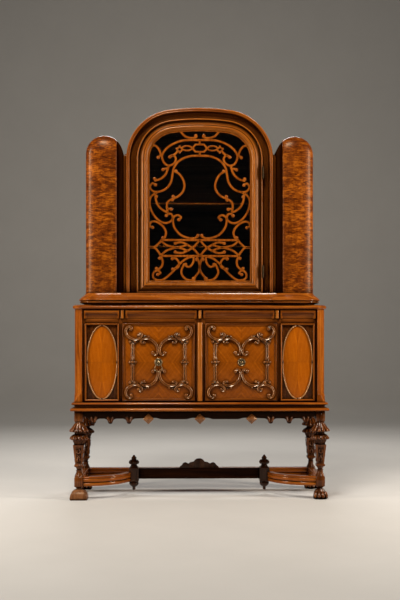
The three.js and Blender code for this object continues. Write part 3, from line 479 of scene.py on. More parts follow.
# Painted shadow: the middle beam under the case is finished near-black.
shadowed_beam_wood = wood("beam_painted_shadow", DEEP, **UV, gloss=0.4, recess_shade_amount=0.95, crevice=30, coat=0.0,
                      specular=0.04)
fret_wood = wood("fretwork_walnut", ((0.10, 0.023, 0.002), (0.26, 0.062, 0.005), (0.39, 0.112, 0.012)),
                 gloss=0.22, recess_shade_amount=0.5, crevice=3, coat=0.2)
scroll_wood = wood("carved_scrolls", ((0.035, 0.009, 0.001), (0.19, 0.055, 0.008), (0.42, 0.155, 0.032)),
                   gloss=0.17, recess_shade_amount=1.0, crevice=11, coat=0.3, specular=0.6)
column_wood = wood("flame_veneer", FLAME, figure=0.56, burl=0.24, gloss=0.3, recess_shade_amount=0.97, crevice=60, band=16.0,
                   streak=0.2, coat=0.0, specular=0.2)
inside_wood = wood("plain_boards", ((0.012, 0.006, 0.003), (0.030, 0.017, 0.010), (0.055, 0.032, 0.019)),
                   along="x", gloss=0.6, crevice=40, coat=0.0, specular=0.1)
shelf_wood = wood("shelf_edges", WALNUT, along="x", gloss=0.3, recess_shade_amount=0.5, crevice=3)
stretcher_wood = wood("walnut_stretchers", WALNUT, **UV, gloss=0.18, recess_shade_amount=0.97, crevice=18, coat=0.4)
boss_wood = wood("carved_bosses", ((0.06, 0.017, 0.004), (0.18, 0.06, 0.015), (0.32, 0.13, 0.04)),
                 gloss=0.16, crevice=5, coat=0.5, specular=0.6)
spandrel_wood = wood("dark_burl", ((0.02, 0.005, 0.001), (0.105, 0.026, 0.004), (0.21, 0.06, 0.010)),
                     burl=0.7, gloss=0.2, recess_shade_amount=0.85, crevice=20)
brass = metal("aged_brass", (0.17, 0.11, 0.05), (0.36, 0.26, 0.14), 0.28)
tarnished = metal("tarnished_brass", (0.022, 0.015, 0.009), (0.06, 0.04, 0.02), 0.4)
iron = metal("dark_iron", (0.05, 0.045, 0.04), (0.11, 0.10, 0.09), 0.5)
glass = pane("door_pane")


# ---------- Upper case ----------
arch_low, arch_high = span("arch_face_frame")
door_low, door_high = span("glass_door_frame")
shell_low, shell_high = span("arch_case")
ARCH_HALF, _, ARCH_TOP = arch_high
_, ARCH_FACE, ARCH_FOOT = arch_low
ARCH_SPRING = 1615
SHOULDER_R = 238
DOOR_OFFSET = ARCH_HALF - door_high[0]
SIGHT_OFFSET = 105
rise = ARCH_TOP - ARCH_SPRING
reach = ARCH_HALF - SHOULDER_R
CROWN_R = (reach ** 2 + rise ** 2 - SHOULDER_R ** 2) / (2 * (rise - SHOULDER_R))
CROWN_Z = ARCH_TOP - CROWN_R
CROWN_TURN = math.atan2(reach, ARCH_SPRING - CROWN_Z)


def arch(offset, foot, straight=10, shoulder=26, crown=10):
    """The three-centred arch moved in by an offset, from its right foot over the crown to its left foot."""
    right = [(ARCH_HALF - offset, foot + (ARCH_SPRING - foot) * i / straight) for i in range(straight)]
    for i in range(shoulder + 1):
        turn = (math.pi / 2 - CROWN_TURN) * i / shoulder
        radius = SHOULDER_R - offset
        right.append((reach + radius * math.cos(turn), ARCH_SPRING + radius * math.sin(turn)))
    for i in range(1, crown + 1):
        turn = CROWN_TURN * (1 - i / crown)
        radius = CROWN_R - offset
        right.append((radius * math.sin(turn), CROWN_Z + radius * math.cos(turn)))
    return right + mirrored(right[:-1], -1)[::-1]


def arch_rings(section, foot_at):
    """A moulding round the arch: section rows are (distance in from the arch's edge, y)."""
    paths = [at_depth(arch(offset, foot_at(offset)), y) for offset, y in section]
    return [[path[i] for path in paths] for i in range(len(paths[0]))]


def case_foot(_):
    return ARCH_FOOT


def door_foot(offset):
    return door_low[2] + offset - DOOR_OFFSET


# Distances in from the arch's edge, and depths behind its face.
face_section = [(0, 6), (3, 1), (7, 0), (9.5, 1.5), (10.5, 2.6), (12, 1), (15, 0), (17, 2), (18, 6),
                (19.5, 14), (22, 20), (29, 22), (40, 21.5), (48.8, 20)]
face_section = [(0, arch_high[1]), *raised(face_section, ARCH_FACE), (48.8, arch_high[1])]
face_section = fillet(face_section, 1.0, 2)
loft("arch_mouldings", arch_rings(face_section, case_foot), mould_wood, node="arch_face_frame")

door_section = [(DOOR_OFFSET, 3), (DOOR_OFFSET + 2, 0), (55, -0.5), (57.5, 1.5), (58, 8), (60, 13),
                (63, 12.5), (72, 6), (80, -0.6), (82, -1.4), (83.5, 1.6), (84.5, -1.5), (87, -5.4),
                (90.5, -7), (94, -5.8), (96.5, -2.5), (98, 1.5), (101, 4), (105, 5), (105, 12), (96.3, 12)]
door_section = [(DOOR_OFFSET, door_high[1]), *raised(door_section, ARCH_FACE), (96.3, door_high[1])]
loft("door_mouldings", arch_rings(fillet(door_section, 0.9, 2), door_foot), door_wood, closed=True,
     body="glass_door", node="glass_door_frame")

shell_section = [(0, shell_low[1]), (16, shell_low[1]), (16, shell_high[1]), (0, shell_high[1])]
loft("arch_shell", arch_rings(fillet(shell_section, 1.5, 2), case_foot), mould_wood, node="arch_case")

# The side boards outside the arch: a round-nosed front edge that dies into the arch at the top.
board_in, board_out, board_front = ARCH_HALF - 6, shell_high[0], shell_low[1] - 9
BOARD_RISE = 666
board_top = shell_low[2] + BOARD_RISE
board_plan = fillet([(board_in, board_front), (board_out, board_front), (board_out, shell_high[1]),
                     (board_in, shell_high[1])], 5.5, 5)
for name, side in SIDES:
    rings = []
    for down, inset in ((BOARD_RISE, 0), (26, 0), (14, 0.8), (6, 3.2), (1.5, 7), (0, 10.5)):
        rings.append([(side * max(board_in, min(x, board_out - inset)), max(y, board_front + inset * 0.7),
                       board_top - down) for x, y in board_plan])
    loft(f"side_board_{name}", rings, mould_wood)


# Wings and columns.
def wing(offset, steps=30):
    points = circle(wing_x, spring, wing_r - offset, steps * 2)[:steps + 1]
    return mirrored([(far - offset, low[2]), *points, (near + offset, low[2])], side)


def column_ring(z):
    """Half an ellipse cut off straight on the inner side, which shrinks over the domed top."""
    over = max(0.0, z - spring) / wing_r
    half = wing_r * math.sqrt(max(0.0004, 1 - over ** 2))
    depth = bow * max(0.02, 1 - over ** 2.6) ** 0.62
    arris = min(2.5, half * 0.2)
    cut = math.acos(max(-0.98, (column_in + arris - wing_x) / half))
    ring = [(wing_x + half * math.cos(cut * k / 32), c_high[1] - depth * math.sin(cut * k / 32))
            for k in range(33)]
    x_in = max(ring[-1][0] - arris, column_in)
    ring += [(x_in, ring[-1][1] + min(arris, depth * math.sin(cut) * 0.5)), (x_in, c_high[1])]
    return at_level(mirrored(ring, side), z)


for name, side in SIDES:
    low, high = span(f"wing_shell_{name}")
    near, far = sorted((abs(low[0]), abs(high[0])))
    wing_r, wing_x = (far - near) / 2, (far + near) / 2
    spring = high[2] - wing_r
    levels = ((low[1], 2.2), (low[1] + 0.7, 0.7), (low[1] + 2.2, 0), (high[1], 0))
    loft(f"wing_{name}", stack(wing, levels), wing_wood, node=f"wing_shell_{name}")
    c_low, c_high = span(f"column_{name}")
    column_in = min(abs(c_low[0]), abs(c_high[0]))
    bow = c_high[1] - c_low[1]
    heights = [c_low[2] + (spring - c_low[2]) * i / 24 for i in range(24)]
    heights += [spring + wing_r * math.sin(math.pi / 2 * i / 22) for i in range(23)]
    loft(f"bowed_column_{name}", [column_ring(z) for z in heights], column_wood, slot="burl", sharp=50,
         node=f"column_{name}")

# Fretwork: the same scrolls as the frame's panel, with soft edges and rounded scroll ends.
fret_low, fret_high = span("door_fretwork")
FRET_BACK = fret_high[1]
FRET_FRONT = fret_low[1] + 0.6
STRAP = 4.9
BALL = 8.0
BAR_UPPER = 1230
BAR_LOWER = 1154
STRAPS = {
    "top_scroll": [(92, 1748), (70, 1725), (44, 1717), (22, 1719), (13, 1727)],
    "upper_band": [(0, 1707), (45, 1707), (88, 1703), (135, 1684), (167, 1657), (180, 1628), (169, 1597),
                   (146, 1585), (122, 1597), (114, 1618), (126, 1634), (143, 1629)],
    "lower_band": [(0, 1632), (41, 1631), (80, 1619), (106, 1600), (124, 1573), (130, 1542), (138, 1505),
                   (161, 1475), (195, 1460), (224, 1463), (237, 1482), (227, 1500), (212, 1495)],
    "outer_hook": [(243, 1672), (214, 1680), (195, 1662), (186, 1636), (197, 1626)],
    "upper_leaf": [(148, 1582), (157, 1555), (169, 1536), (190, 1520), (217, 1512)],
    "inner_scroll": [(124, 1560), (98, 1545), (80, 1518), (73, 1490), (80, 1463), (101, 1440), (127, 1428),
                     (150, 1414), (157, 1393), (153, 1362)],
    "outer_crescent": [(200, 1460), (232, 1437), (239, 1403), (228, 1364), (203, 1330), (172, 1312),
                       (146, 1315), (129, 1332), (136, 1354), (157, 1354)],
    "inner_crescent": [(212, 1456), (209, 1421), (195, 1390), (172, 1370), (150, 1362)],
    "lower_bowl": [(100, 1330), (89, 1338), (106, 1349), (126, 1337), (127, 1309), (117, 1283), (93, 1256),
                   (62, 1242), (30, 1238), (8, 1248)],
    "corner_scroll": [(226, 1290), (240, 1298), (232, 1315), (211, 1318), (185, 1304), (167, 1283),
                      (161, 1262), (169, 1238)],
    "bar_upper": [(0, BAR_UPPER), (182, BAR_UPPER)],
    "bar_lower": [(0, BAR_LOWER), (190, BAR_LOWER)],
    "end_upper": [(180, 1232), (195, 1214), (216, 1197), (246, 1195)],
    "end_lower": [(246, 1195), (216, 1193), (200, 1178), (186, 1156)],
    "cross_falling": [(0, 1230), (28, 1199), (57, 1180), (88, 1168), (117, 1172)],
    "cross_rising": [(0, 1154), (28, 1186), (57, 1206), (88, 1219), (117, 1215)],
    "braid_falling": [(188, 1230), (161, 1207), (125, 1197), (93, 1192), (57, 1178)],
    "braid_rising": [(188, 1154), (161, 1178), (125, 1191), (93, 1197), (57, 1208)],
    "lower_hook": [(188, 1156), (177, 1131), (180, 1107), (198, 1088)],
    "sweep": [(199, 1066), (188, 1073), (201, 1085), (220, 1074), (222, 1052), (203, 1039), (174, 1042),
              (140, 1068), (109, 1102), (83, 1128), (57, 1145), (28, 1152)],
    "small_hook": [(131, 1143), (112, 1141), (99, 1120), (105, 1099), (129, 1092)],
    "curl": [(28, 1152), (32, 1123), (49, 1103), (70, 1108)],
    "loop": [(74, 1118), (88, 1081), (79, 1055), (57, 1040), (28, 1040), (22, 1055), (5, 1078), (0, 1102),
             (5, 1128), (14, 1150)],
    "link_knot": [(143, 1626), (118, 1640), (105, 1655)],
    "link_leaf": [(174, 1568), (154, 1572)],
    "link_scroll": [(133, 1377), (156, 1380)],
    "stem_upper": [(0, 1690), (0, 1707)],
    "stem_lower": [(0, 1632), (0, 1650)],
}
BALLS = [(19, 1728), (143, 1626), (211, 1493), (198, 1624), (175, 1566), (215, 1522), (114, 1559),
         (127, 1438), (131, 1421), (136, 1377), (207, 1437), (159, 1347), (100, 1327), (9, 1252),
         (225, 1290), (176, 1241), (117, 1173), (117, 1214), (191, 1143), (206, 1094), (200, 1066),
         (15, 1137), (131, 1141), (129, 1091), (68, 1114), (30, 1047)]


def fret_strap(points, half_width=STRAP, steps=7):
    return strap_rings(points, half_width, FRET_BACK, FRET_FRONT, steps)


fret = []
for side in (-1, 1):
    for points in STRAPS.values():
        if side > 0 or points[0][0] or points[-1][0]:
            fret.append(fret_strap(mirrored(points, side), steps=7 if len(points) > 2 else 2))
    for x, z in BALLS:
        fret.append(dome_rings(side * x, z, BALL, FRET_BACK, FRET_FRONT - 0.5))
    for x, z, rx, rz in ((96, 1662, 11, 10), (61, 1668, 23, 11)):
        ring = circle(side * x, z, rx, 14, rz)
        fret.append(fret_strap(ring + ring[:1], 3.8, 4))
    for x, z in ((96, 1677), (96, 1647), (110, 1666)):
        fret.append(dome_rings(side * x, z, 5, FRET_BACK, FRET_FRONT - 0.3))
cartouche = [(0, 1686), (22, 1686), (24, 1680), (31, 1675), (31, 1661), (24, 1656), (22, 1651), (0, 1651)]
for side in (-1, 1):
    fret.append(fret_strap(fillet(mirrored(cartouche, side), 3, 2, closed=False), 4.2, 1))
group("fretwork", fret, fret_wood, body="glass_door", node="door_fretwork")
lining = [(0.4, FRET_BACK), (0.4, FRET_FRONT + 0.6), (1.0, FRET_FRONT), (5.4, FRET_FRONT),
          (6.0, FRET_FRONT + 0.6), (6.0, FRET_BACK)]
lining = [(SIGHT_OFFSET + inset, y) for inset, y in lining]
loft("fretwork_lining", arch_rings(lining, door_foot), fret_wood, closed=True, body="glass_door")

# Shelves and hinges.
for level in ("lower", "upper"):
    low, high = span(f"display_shelf_{level}")
    nose = [(low[1], high[2] - 1), (low[1], high[2] - 5), (low[1] + 70, low[2]), (high[1], low[2]),
            (high[1], high[2]), (low[1] + 1, high[2])]
    # Painted shade: the shelf board is in the near-black plain-boards finish, which darkens its underside;
    # the thin nosing along its top front edge is plain walnut.
    loft(f"display_shelf_{level}_board", extruded(fillet(nose, 1, 2), (low[0], high[0])), inside_wood,
         node=f"display_shelf_{level}")
    strip = box_rings(low[0], high[0], low[1] - 0.6, low[1] + 2.5, high[2] - 7, high[2] - 0.6, 1.2)
    group(f"display_shelf_{level}_nosing", [strip], shelf_wood)

    low, high = span(f"hinge_{level}_fixed")
    leaf_low, leaf_high = span(f"hinge_{level}_moving")
    axis_x, axis_y = low[0] + 4, low[1] + 4
    middle = (low[2] + high[2]) / 2
    end_knuckle = [(0.1, 0), (2.2, 0.6), (3.9, 2), (3.9, 18.6), (3.3, 19.2)]
    fixed = [box_rings(axis_x + 0.15, axis_x + 0.8, axis_y, high[1], low[2], high[2], 0.2)]
    for sign in (-1, 1):
        profile = [(r, middle + sign * (30 - z)) for r, z in end_knuckle]
        fixed.append(turned_rings(profile, axis_x, axis_y, 24, 0.8))
    group(f"brass_hinge_{level}_case_leaf", fixed, tarnished, slot="brass", node=f"hinge_{level}_fixed")
    profile = raised([(3.3, -10.6), (3.9, -10), (3.9, 10), (3.3, 10.6)], middle)
    moving = [box_rings(axis_x - 0.8, axis_x - 0.15, axis_y, leaf_high[1], leaf_low[2], leaf_high[2], 0.2),
              turned_rings(profile, axis_x, axis_y, 24, 0.5)]
    group(f"brass_hinge_{level}_door_leaf", moving, tarnished, body="glass_door", slot="brass",
          node=f"hinge_{level}_moving")

# The keyhole plate, a little narrower at its waist.
key_low, key_high = span("key_escutcheon")
key_x, key_z = (key_low[0] + key_high[0]) / 2, (key_low[2] + key_high[2]) / 2


def key_plate(offset):
    turns = [TURN * k / 32 for k in range(32)]
    return [(key_x + (3.5 - offset) * math.cos(t),
             key_z + (9 - offset) * math.sin(t) * (1 - 0.16 * math.cos(2 * t))) for t in turns]


plate = stack(key_plate, ((key_high[1], 0), (key_low[1] + 0.3, 0), (key_low[1], 0.5)))
group("keyhole_plate", [plate], tarnished, body="glass_door", slot="brass", node="key_escutcheon")
slit = [(key_x + dx, key_z + dz) for dx, dz in ((-0.6, -4), (0.6, -4), (0.6, 1), (-0.6, 1))]
keyhole = [[at_depth(outline, key_low[1] + out) for out in (0.3, -0.02)]
           for outline in (circle(key_x, key_z + 1.6, 1.25, 14), slit)]
group("keyhole", keyhole, iron, body="glass_door", slot="iron")


# ---------- Boards of the lower case ----------
post_low, post_high = span("corner_post_right")
CASE_HALF, POST_BACK, CEILING = post_high
POST_IN, CASE_FRONT, FLOOR = post_low
CASE_BACK = span("case_back")[1][1]
CANT = CASE_HALF - POST_IN
LEDGE_STEP = 8


def case_outline(offset, canted=True):
    w, f = CASE_HALF + offset, CASE_FRONT - offset
    c = CANT + offset * (2 - math.sqrt(2))
    corner = [(w - c, f), (w, f + c)] if canted else [(w, f)]
    return fillet(both_sides(corner + [(w, CASE_BACK)]), 1.6, 2)


def ledge_outline(offset, steps=16):
    """The ledge steps forward under the columns and turns its outer corners on a quarter circle."""
    low, high = span("ledge_board")
    edge = 31
    inner, outer = 363 - offset, high[0] - edge + offset
    front = low[1] + edge - offset
    middle = front + LEDGE_STEP
    r = 58 + offset
    right = [(inner, middle), (inner + 5, middle - 2), (inner + 10, front)]
    for i in range(steps + 1):
        t = math.pi / 2 * i / steps
        right.append((outer - r + r * math.sin(t), front + r - r * math.cos(t)))
    return both_sides(right + [(outer, CASE_BACK)])


def moulded_board(node, name, outline, profile):
    """A board with a moulded edge. Profile rows are (distance out from the case, height over its underside);
    the last one is the distance alone, at the board's top."""
    low, high = span(node)
    edge = fillet([*raised(profile[:-1], low[2]), (profile[-1], high[2])], 3.2, 4, closed=False)
    loft(name, [at_level(outline(offset), z) for offset, z in edge], rail_wood, node=node)


moulded_board("ledge_board", "stepped_ledge", ledge_outline,
              [(6, 0), (6, 7), (20, 8), (25, 10), (26.5, 13), (25, 16), (22.5, 17.5), (22.5, 19),
               (30, 20.5), (31, 23), (31, 25), (27, 29), (20, 36), (11, 43), (3, 48.5), 0])
moulded_board("waist_board", "waist_moulding", case_outline,
              [(1, 0), (3, 1.5), (8, 4), (10, 8), (10, 12), (7.5, 16), (2, 19), -4])
moulded_board("base_board", "base_moulding", lambda offset: case_outline(offset, False),
              [(11, 0), (15, 1.5), (17, 5), (17, 10), (14, 14), (6, 15.5), (-1, 17), (-2, 22), (-1, 28),
               (7, 29.5), (11, 31.5), (12, 34), (11, 37), 8])


# Corner posts: a canted face that ends in a lamb's tongue above the foot.
def cant_share(height):
    """How much of the full cant the post has at this height over its foot."""
    above = (height - 4) / 40
    if above <= 0:
        return 0.0
    if above >= 1:
        return 0.985
    return min(0.985, 0.5 * math.sqrt(min(1, above * 2)) + 0.5 * max(0, above * 2 - 1) ** 1.6)


# Steps up the post: small ones, as shares of its height, for the tongue and even ones above.
POST_STEPS, TONGUE_STEPS, TONGUE_STEP = 36, 14, 3.2 / 439
for name, side in SIDES:
    rings = []
    for i in range(POST_STEPS + 1):
        height = (CEILING - FLOOR) * (i / POST_STEPS if i > TONGUE_STEPS else i * TONGUE_STEP)
        c = max(0.6, CANT * cant_share(height))
        plan = [(POST_IN, CASE_FRONT), (CASE_HALF - c, CASE_FRONT), (CASE_HALF, CASE_FRONT + c),
                (CASE_HALF, POST_BACK), (POST_IN, POST_BACK)]
        rings.append(at_level(mirrored(fillet(plan, 1.3, 2), side), FLOOR + height))
    loft(f"canted_post_{name}", rings, post_wood, node=f"corner_post_{name}")

# The front frame, with half-round beads on the middle stile and on the dividers between the drawers.
frame_low, frame_high = span("front_frame")
FRAME_FACE = frame_low[1] + 12
FRAME_BACK = FRAME_FACE + 22
DOOR_TOP, FRIEZE_BOTTOM = 832, 855
STILE, DOOR_EDGE, PANEL_IN, PANEL_OUT = 22.5, 367.5, 381, 543
door_foot_z = span("lower_door_right")[0][2]


def board(side, x0, x1, z0, z1):
    return box_rings(side * x0, side * x1, FRAME_FACE, FRAME_BACK, z0, z1)


def half_round(x, half, z0, z1):
    turns = [math.pi * k / 16 for k in range(17)]
    section = [(x + half * math.cos(t), FRAME_FACE + 1 - (FRAME_FACE + 3 - CASE_FRONT) * math.sin(t) ** 0.8)
               for t in turns]
    return [at_level(section, z) for z in (z0, z1)]


def frieze_rings(x0, x1):
    """A hollow drawer front with a lip along its top that returns down both ends."""
    low, high = sorted((x0, x1))
    lip = frame_low[1]
    section = [(0, 0), (0, -9), (2, -10.5), (3, -12), (7, -15), (11, -21), (13.5, -28), (14.5, -37.5),
               (FRAME_BACK - 2 - lip, -37.5), (FRAME_BACK - 2 - lip, 0)]
    section = fillet([(lip + y, z) for y, z in raised(section, frame_high[2] - 6)], 1.5, 2)
    rings = []
    for from_end in (0.0, 0.5, 1.5, 4.0, 5.0, 6.5, 8.5, 11.0, 14.0):
        lift = 1.0 if from_end < 4.5 else max(0.0, 1 - (from_end - 4) / 10) ** 2
        inset = 0.6 if from_end == 0 else 0.0
        rings.append((from_end, [(y + (lip - y) * lift * (y < lip + 20) + inset, z) for y, z in section]))
    left = [[(low + e, y, z) for y, z in ring] for e, ring in rings]
    return left + [[(high - e, y, z) for y, z in ring] for e, ring in reversed(rings)]


stiles = [board(1, -STILE, STILE, FLOOR, FRIEZE_BOTTOM), board(1, -14, 14, FRIEZE_BOTTOM, CEILING)]
beads = [half_round(0, 12, door_foot_z, DOOR_TOP + 4), half_round(0, 8.5, FRIEZE_BOTTOM + 1, CEILING - 5)]
rails = []
for side in (-1, 1):
    stiles += [board(side, DOOR_EDGE, PANEL_IN, FLOOR, FRIEZE_BOTTOM),
               board(side, 353, 379, FRIEZE_BOTTOM, CEILING),
               board(side, PANEL_OUT, 554.7, FLOOR, CEILING)]
    beads.append(half_round(side * 366, 8.5, FRIEZE_BOTTOM + 1, CEILING - 5))
    rails += [board(side, STILE, DOOR_EDGE, FLOOR, 464.5), board(side, PANEL_IN, PANEL_OUT, FLOOR, 466),
              board(side, STILE, DOOR_EDGE, DOOR_TOP + 1.5, FRIEZE_BOTTOM),
              board(side, PANEL_IN, PANEL_OUT, DOOR_TOP, FRIEZE_BOTTOM)]
group("front_stiles", stiles, recess_wood, node="front_frame")
group("front_rails", rails, recess_rail_wood)
group("divider_beads", beads, stile_bead_wood)
group("end_friezes", [frieze_rings(side * PANEL_IN, side * 546) for side in (-1, 1)], front_wood)

for name, side in SIDES:
    drawer = f"frieze_drawer_{name}"
    low, high = span(drawer)
    near, far = sorted((abs(low[0]), abs(high[0])))
    inner, outer = near + 8, far - 8
    foot, top = low[2] + 3, high[2] - 2
    front, back = FRAME_BACK - 3, high[1]
    box = [box_rings(side * inner, side * (inner + 9), front, back, foot, top),
           box_rings(side * outer, side * (outer - 9), front, back, foot, top),
           box_rings(side * (inner + 9), side * (outer - 9), back - 9, back, foot, top),
           box_rings(side * (inner + 9), side * (outer - 9), front, back - 9, foot, foot + 6, 0.3)]
    front_shell = frieze_rings(side * near, side * far)
    group(f"drawer_front_{name}", [front_shell], front_wood, body=drawer, node=drawer)
    group(f"drawer_box_{name}", box, inside_wood, body=drawer)


# ---------- Oval panels and lower doors ----------
def frame_loop(low, high, section):
    """A mitred moulding round a node's front: section rows are (distance in from the edge, y)."""
    x0, x1, z0, z1 = low[0], high[0], low[2], high[2]
    corners = ((x0, z0, 1, 1), (x1, z0, -1, 1), (x1, z1, -1, -1), (x0, z1, 1, -1))
    return [[(x + dx * inset, y, z + dz * inset) for inset, y in section] for x, z, dx, dz in corners]


def oval_loop(x, z, rx, rz, section, steps=72):
    """A moulding round an ellipse: section rows are (distance out from the ellipse, y)."""
    rings = []
    for (px, pz), (nx, nz) in zip(circle(x, z, rx, steps, rz), circle(0, 0, 1 / rx, steps, 1 / rz)):
        normal = Vector((nx, nz)).normalized()
        rings.append([(px + normal.x * out, y, pz + normal.y * out) for out, y in section])
    return rings


def middle_of(low, high):
    return (low[0] + high[0]) / 2, (low[2] + high[2]) / 2


OVAL_X, OVAL_Z = 70.5, 173.5
panel_rim = [(0, 0), (0.8, -1), (3.5, -1), (5, 1.2), (6.5, 2), (8, 4.5)]
panel_rim = [(0, FRAME_FACE), *raised(panel_rim, CASE_FRONT), (9.2, FRAME_FACE + 3)]
oval_bead = [(-3.2, 2), (-3.2, -1.6), (-2.2, -4.6), (0, -5.8), (2.2, -4.6), (3.2, -1.6), (3.2, 2)]
oval_bead = fillet(raised(oval_bead, FRAME_FACE), 1, 2)
for name, side in SIDES:
    low, high = span(f"oval_panel_{name}")
    x, z = middle_of(low, high)
    ground = box_rings(low[0], high[0], FRAME_FACE + 2, high[1], low[2], high[2], 0.3)
    group(f"oval_panel_ground_{name}", [ground], spandrel_wood, slot="burl", node=f"oval_panel_{name}")
    loft(f"oval_panel_rim_{name}", frame_loop(low, high, fillet(panel_rim, 0.6, 2)), mould_wood, closed=True)
    loft(f"oval_bead_{name}", oval_loop(x, z, OVAL_X, OVAL_Z, oval_bead), pale_highlight_bead_wood, closed=True)
    levels = ((FRAME_FACE + 2.5, 0), (FRAME_FACE - 0.6, 0), (FRAME_FACE - 1.2, 2))
    field = stack(lambda offset: circle(x, z, 70 - offset, 72, 173 - offset), levels)
    matched = wood(f"matched_veneer_{name}", GOLD, source=(x, z), along=-78, figure=0.10, recess_shade_amount=0.2, band=60.0)
    loft(f"oval_veneer_{name}", field, matched, slot="veneer")
    buds = []
    for nx, nz in ((OVAL_X, 0), (0, OVAL_Z), (-OVAL_X, 0), (0, -OVAL_Z)):
        for step in (-1, 0, 1):
            dx, dz = (0, step * 7) if nx else (step * 7, 0)
            radius, proud = (3.8, 5.2) if step else (4.8, 6.4)
            buds.append(dome_rings(x + nx + dx, z + nz + dz, radius, FRAME_FACE, FRAME_FACE - proud, 12))
    group(f"oval_bead_buds_{name}", buds, carved_wood, slot="dark_walnut")

# Applied scrolls: points are (distance from the door's middle line, height over its middle), for one quarter.
REED = [(-1, 0), (-1, 0.5), (-0.84, 0.82), (-0.5, 1), (-0.24, 0.9), (0, 0.8), (0.24, 0.9), (0.5, 1),
        (0.84, 0.82), (1, 0.5), (1, 0)]
CORNER_SCROLL = [(127, 156), (128, 163), (137, 168), (149, 161), (155, 145), (149, 127), (133, 113),
                 (111, 106), (91, 112), (80, 124), (82, 134), (92, 135), (97, 127)]
MIDDLE_SCROLL = [(70, 91), (80, 93), (83, 101), (74, 108), (56, 112), (38, 107), (20, 94), (9, 78), (4, 60),
                 (6, 44), (15, 36), (27, 39), (29, 47)]
SPRIGS = ([(78, 118), (66, 124), (52, 121)], [(97, 100), (110, 94), (124, 97), (140, 103)],
          [(104, 92), (121, 88), (138, 92)])
SCROLL_BALLS = ((130, 156, 8), (95, 127, 7), (68, 93, 7), (27, 44, 8.5), (50, 121, 5), (112, 97, 6.5),
                (134, 97, 6.5))
ROD_X = 123


def scroll_rings(points, half_width, back, front, steps=5):
    """A scroll with a hollow between two raised edges; it thins towards both ends."""
    def shape(share):
        swell = math.sin(math.pi * share) ** 0.45 if 0 < share < 1 else 0.0
        return half_width * (0.6 + 0.4 * swell), (front - back) * (0.75 + 0.25 * swell)

    return swept(points, REED, back, steps, shape)


def quarter_scrolls(x, z, across, up, face):
    """One quarter of a door's scrolls, on the side and at the end that across and up say."""
    def place(points):
        return [(x + across * a, z + up * b) for a, b in points]

    back, front = face + 0.5, face - 10
    shells = [scroll_rings(place(CORNER_SCROLL), 7.2, back, front),
              scroll_rings(place(MIDDLE_SCROLL), 7.2, back, front - 1)]
    shells += [scroll_rings(place(sprig), 4.2, back, face - 5, 4) for sprig in SPRIGS]
    return shells + [dome_rings(x + across * a, z + up * b, r, back, front - 0.8) for a, b, r in SCROLL_BALLS]


def rod_shells(rod, z, face):
    """The upright pair of reeds between two corner scrolls, with three buttons and four small leaves."""
    back = face + 0.5
    shells = []
    for reed in (-4.2, 4.2):
        section = circle(rod + reed, back, 4, 20, -5.5)[:11]
        shells.append([at_level(section, z + end) for end in (-88, 88)])
    shells += [dome_rings(rod + step, z, r, back, face - 9) for step, r in ((-13, 6), (0, 7.5), (13, 6))]
    for drop in (-1, 1):
        for out, tip, proud in ((-9, 27, 7), (9, 25, 6)):
            leaf = [(rod + out, z + drop * 9), (rod, z + drop * 15), (rod, z + drop * tip)]
            shells.append(scroll_rings(leaf, 4.5, back, face - proud, 4))
    return shells


for name, side in SIDES:
    body = f"lower_door_{name}"
    low, high = span(body)
    x, z = middle_of(low, high)
    face = low[1] + 4
    veneer = wood(f"door_veneer_{name}", AMBER, source=(x, z), along=-48, figure=0.16, recess_shade_amount=0.75,
                  crevice=16, band=60.0)
    panel = box_rings(low[0], high[0], face, high[1], low[2], high[2], 1.0)
    group(f"door_panel_{name}", [panel], veneer, body=body, slot="veneer", node=body)
    rim = [(0.6, 7), (0.6, 1), (1.6, 0), (4, 0), (5.4, 1.3), (7, 1.7), (12, 2.2), (13.4, 3.6), (14, 5)]
    rim = fillet(raised(rim, low[1]), 0.6, 2)
    loft(f"door_rim_{name}", frame_loop(low, high, rim), rim_wood, closed=True, body=body)
    scrolls = []
    for across in (-1, 1):
        for up in (-1, 1):
            scrolls += quarter_scrolls(x, z, across, up, face)
        scrolls += rod_shells(x + across * ROD_X, z, face)
    group(f"applied_scrolls_{name}", scrolls, scroll_wood, body=body, slot="dark_walnut", sharp=55)


# ---------- Stand ----------
LEG_X = 572
LEG_Y = 165
BLOCK = 20.5


def lobed_rings(profile, x, y, lobes, twist=0.0, sides=96, radius=2.0):
    """A turned and carved shape. Rows are (radius, z, carving): over 0 swells lobes, under 0 cuts flutes."""
    rings = []
    for r, z, depth in fillet(profile, radius, 3, closed=False):
        ring = []
        for k in range(sides):
            t = TURN * k / sides
            wave = abs(math.sin(lobes * t / 2 + twist * (z - profile[0][1])))
            swell = 1 - depth * (1 - math.sqrt(wave)) if depth >= 0 else 1 + depth * wave
            ring.append((x + r * swell * math.cos(t), y + r * swell * math.sin(t), z))
        rings.append(ring)
    return rings


def square_rings(sections, x, y, corner=1.4):
    """Square sections (half, z) stacked up a leg, their arrises softened."""
    rings = []
    for half, z in sections:
        outline = fillet([(half, -half), (half, half), (-half, half), (-half, -half)], corner, 2)
        rings.append([(x + dx, y + dy, z) for dx, dy in outline])
    return rings


def quarter_turned(rings, quarter, x, y):
    """Rings made for one face of a leg, turned a number of quarters round it."""
    c, s = ((1, 0), (0, 1), (-1, 0), (0, -1))[quarter]
    return [[(x + (a - x) * c - (b - y) * s, y + (a - x) * s + (b - y) * c, z) for a, b, z in ring]
            for ring in rings]


def panelled_rings(sections, x, y, stile=0.56):
    """A square shaft with a sunk panel on each face: rows are (half, z, depth of the panel)."""
    rings = []
    for half, z, sunk in sections:
        edge, field = half * stile, half * stile - sunk * 0.6
        face = [(half, -half), (half, -edge), (half - sunk, -field), (half - sunk, field), (half, edge)]
        face = [(x + a, y + b, z) for a, b in face]
        rings.append([p for quarter in range(4) for p in quarter_turned([face], quarter, x, y)[0]])
    return rings


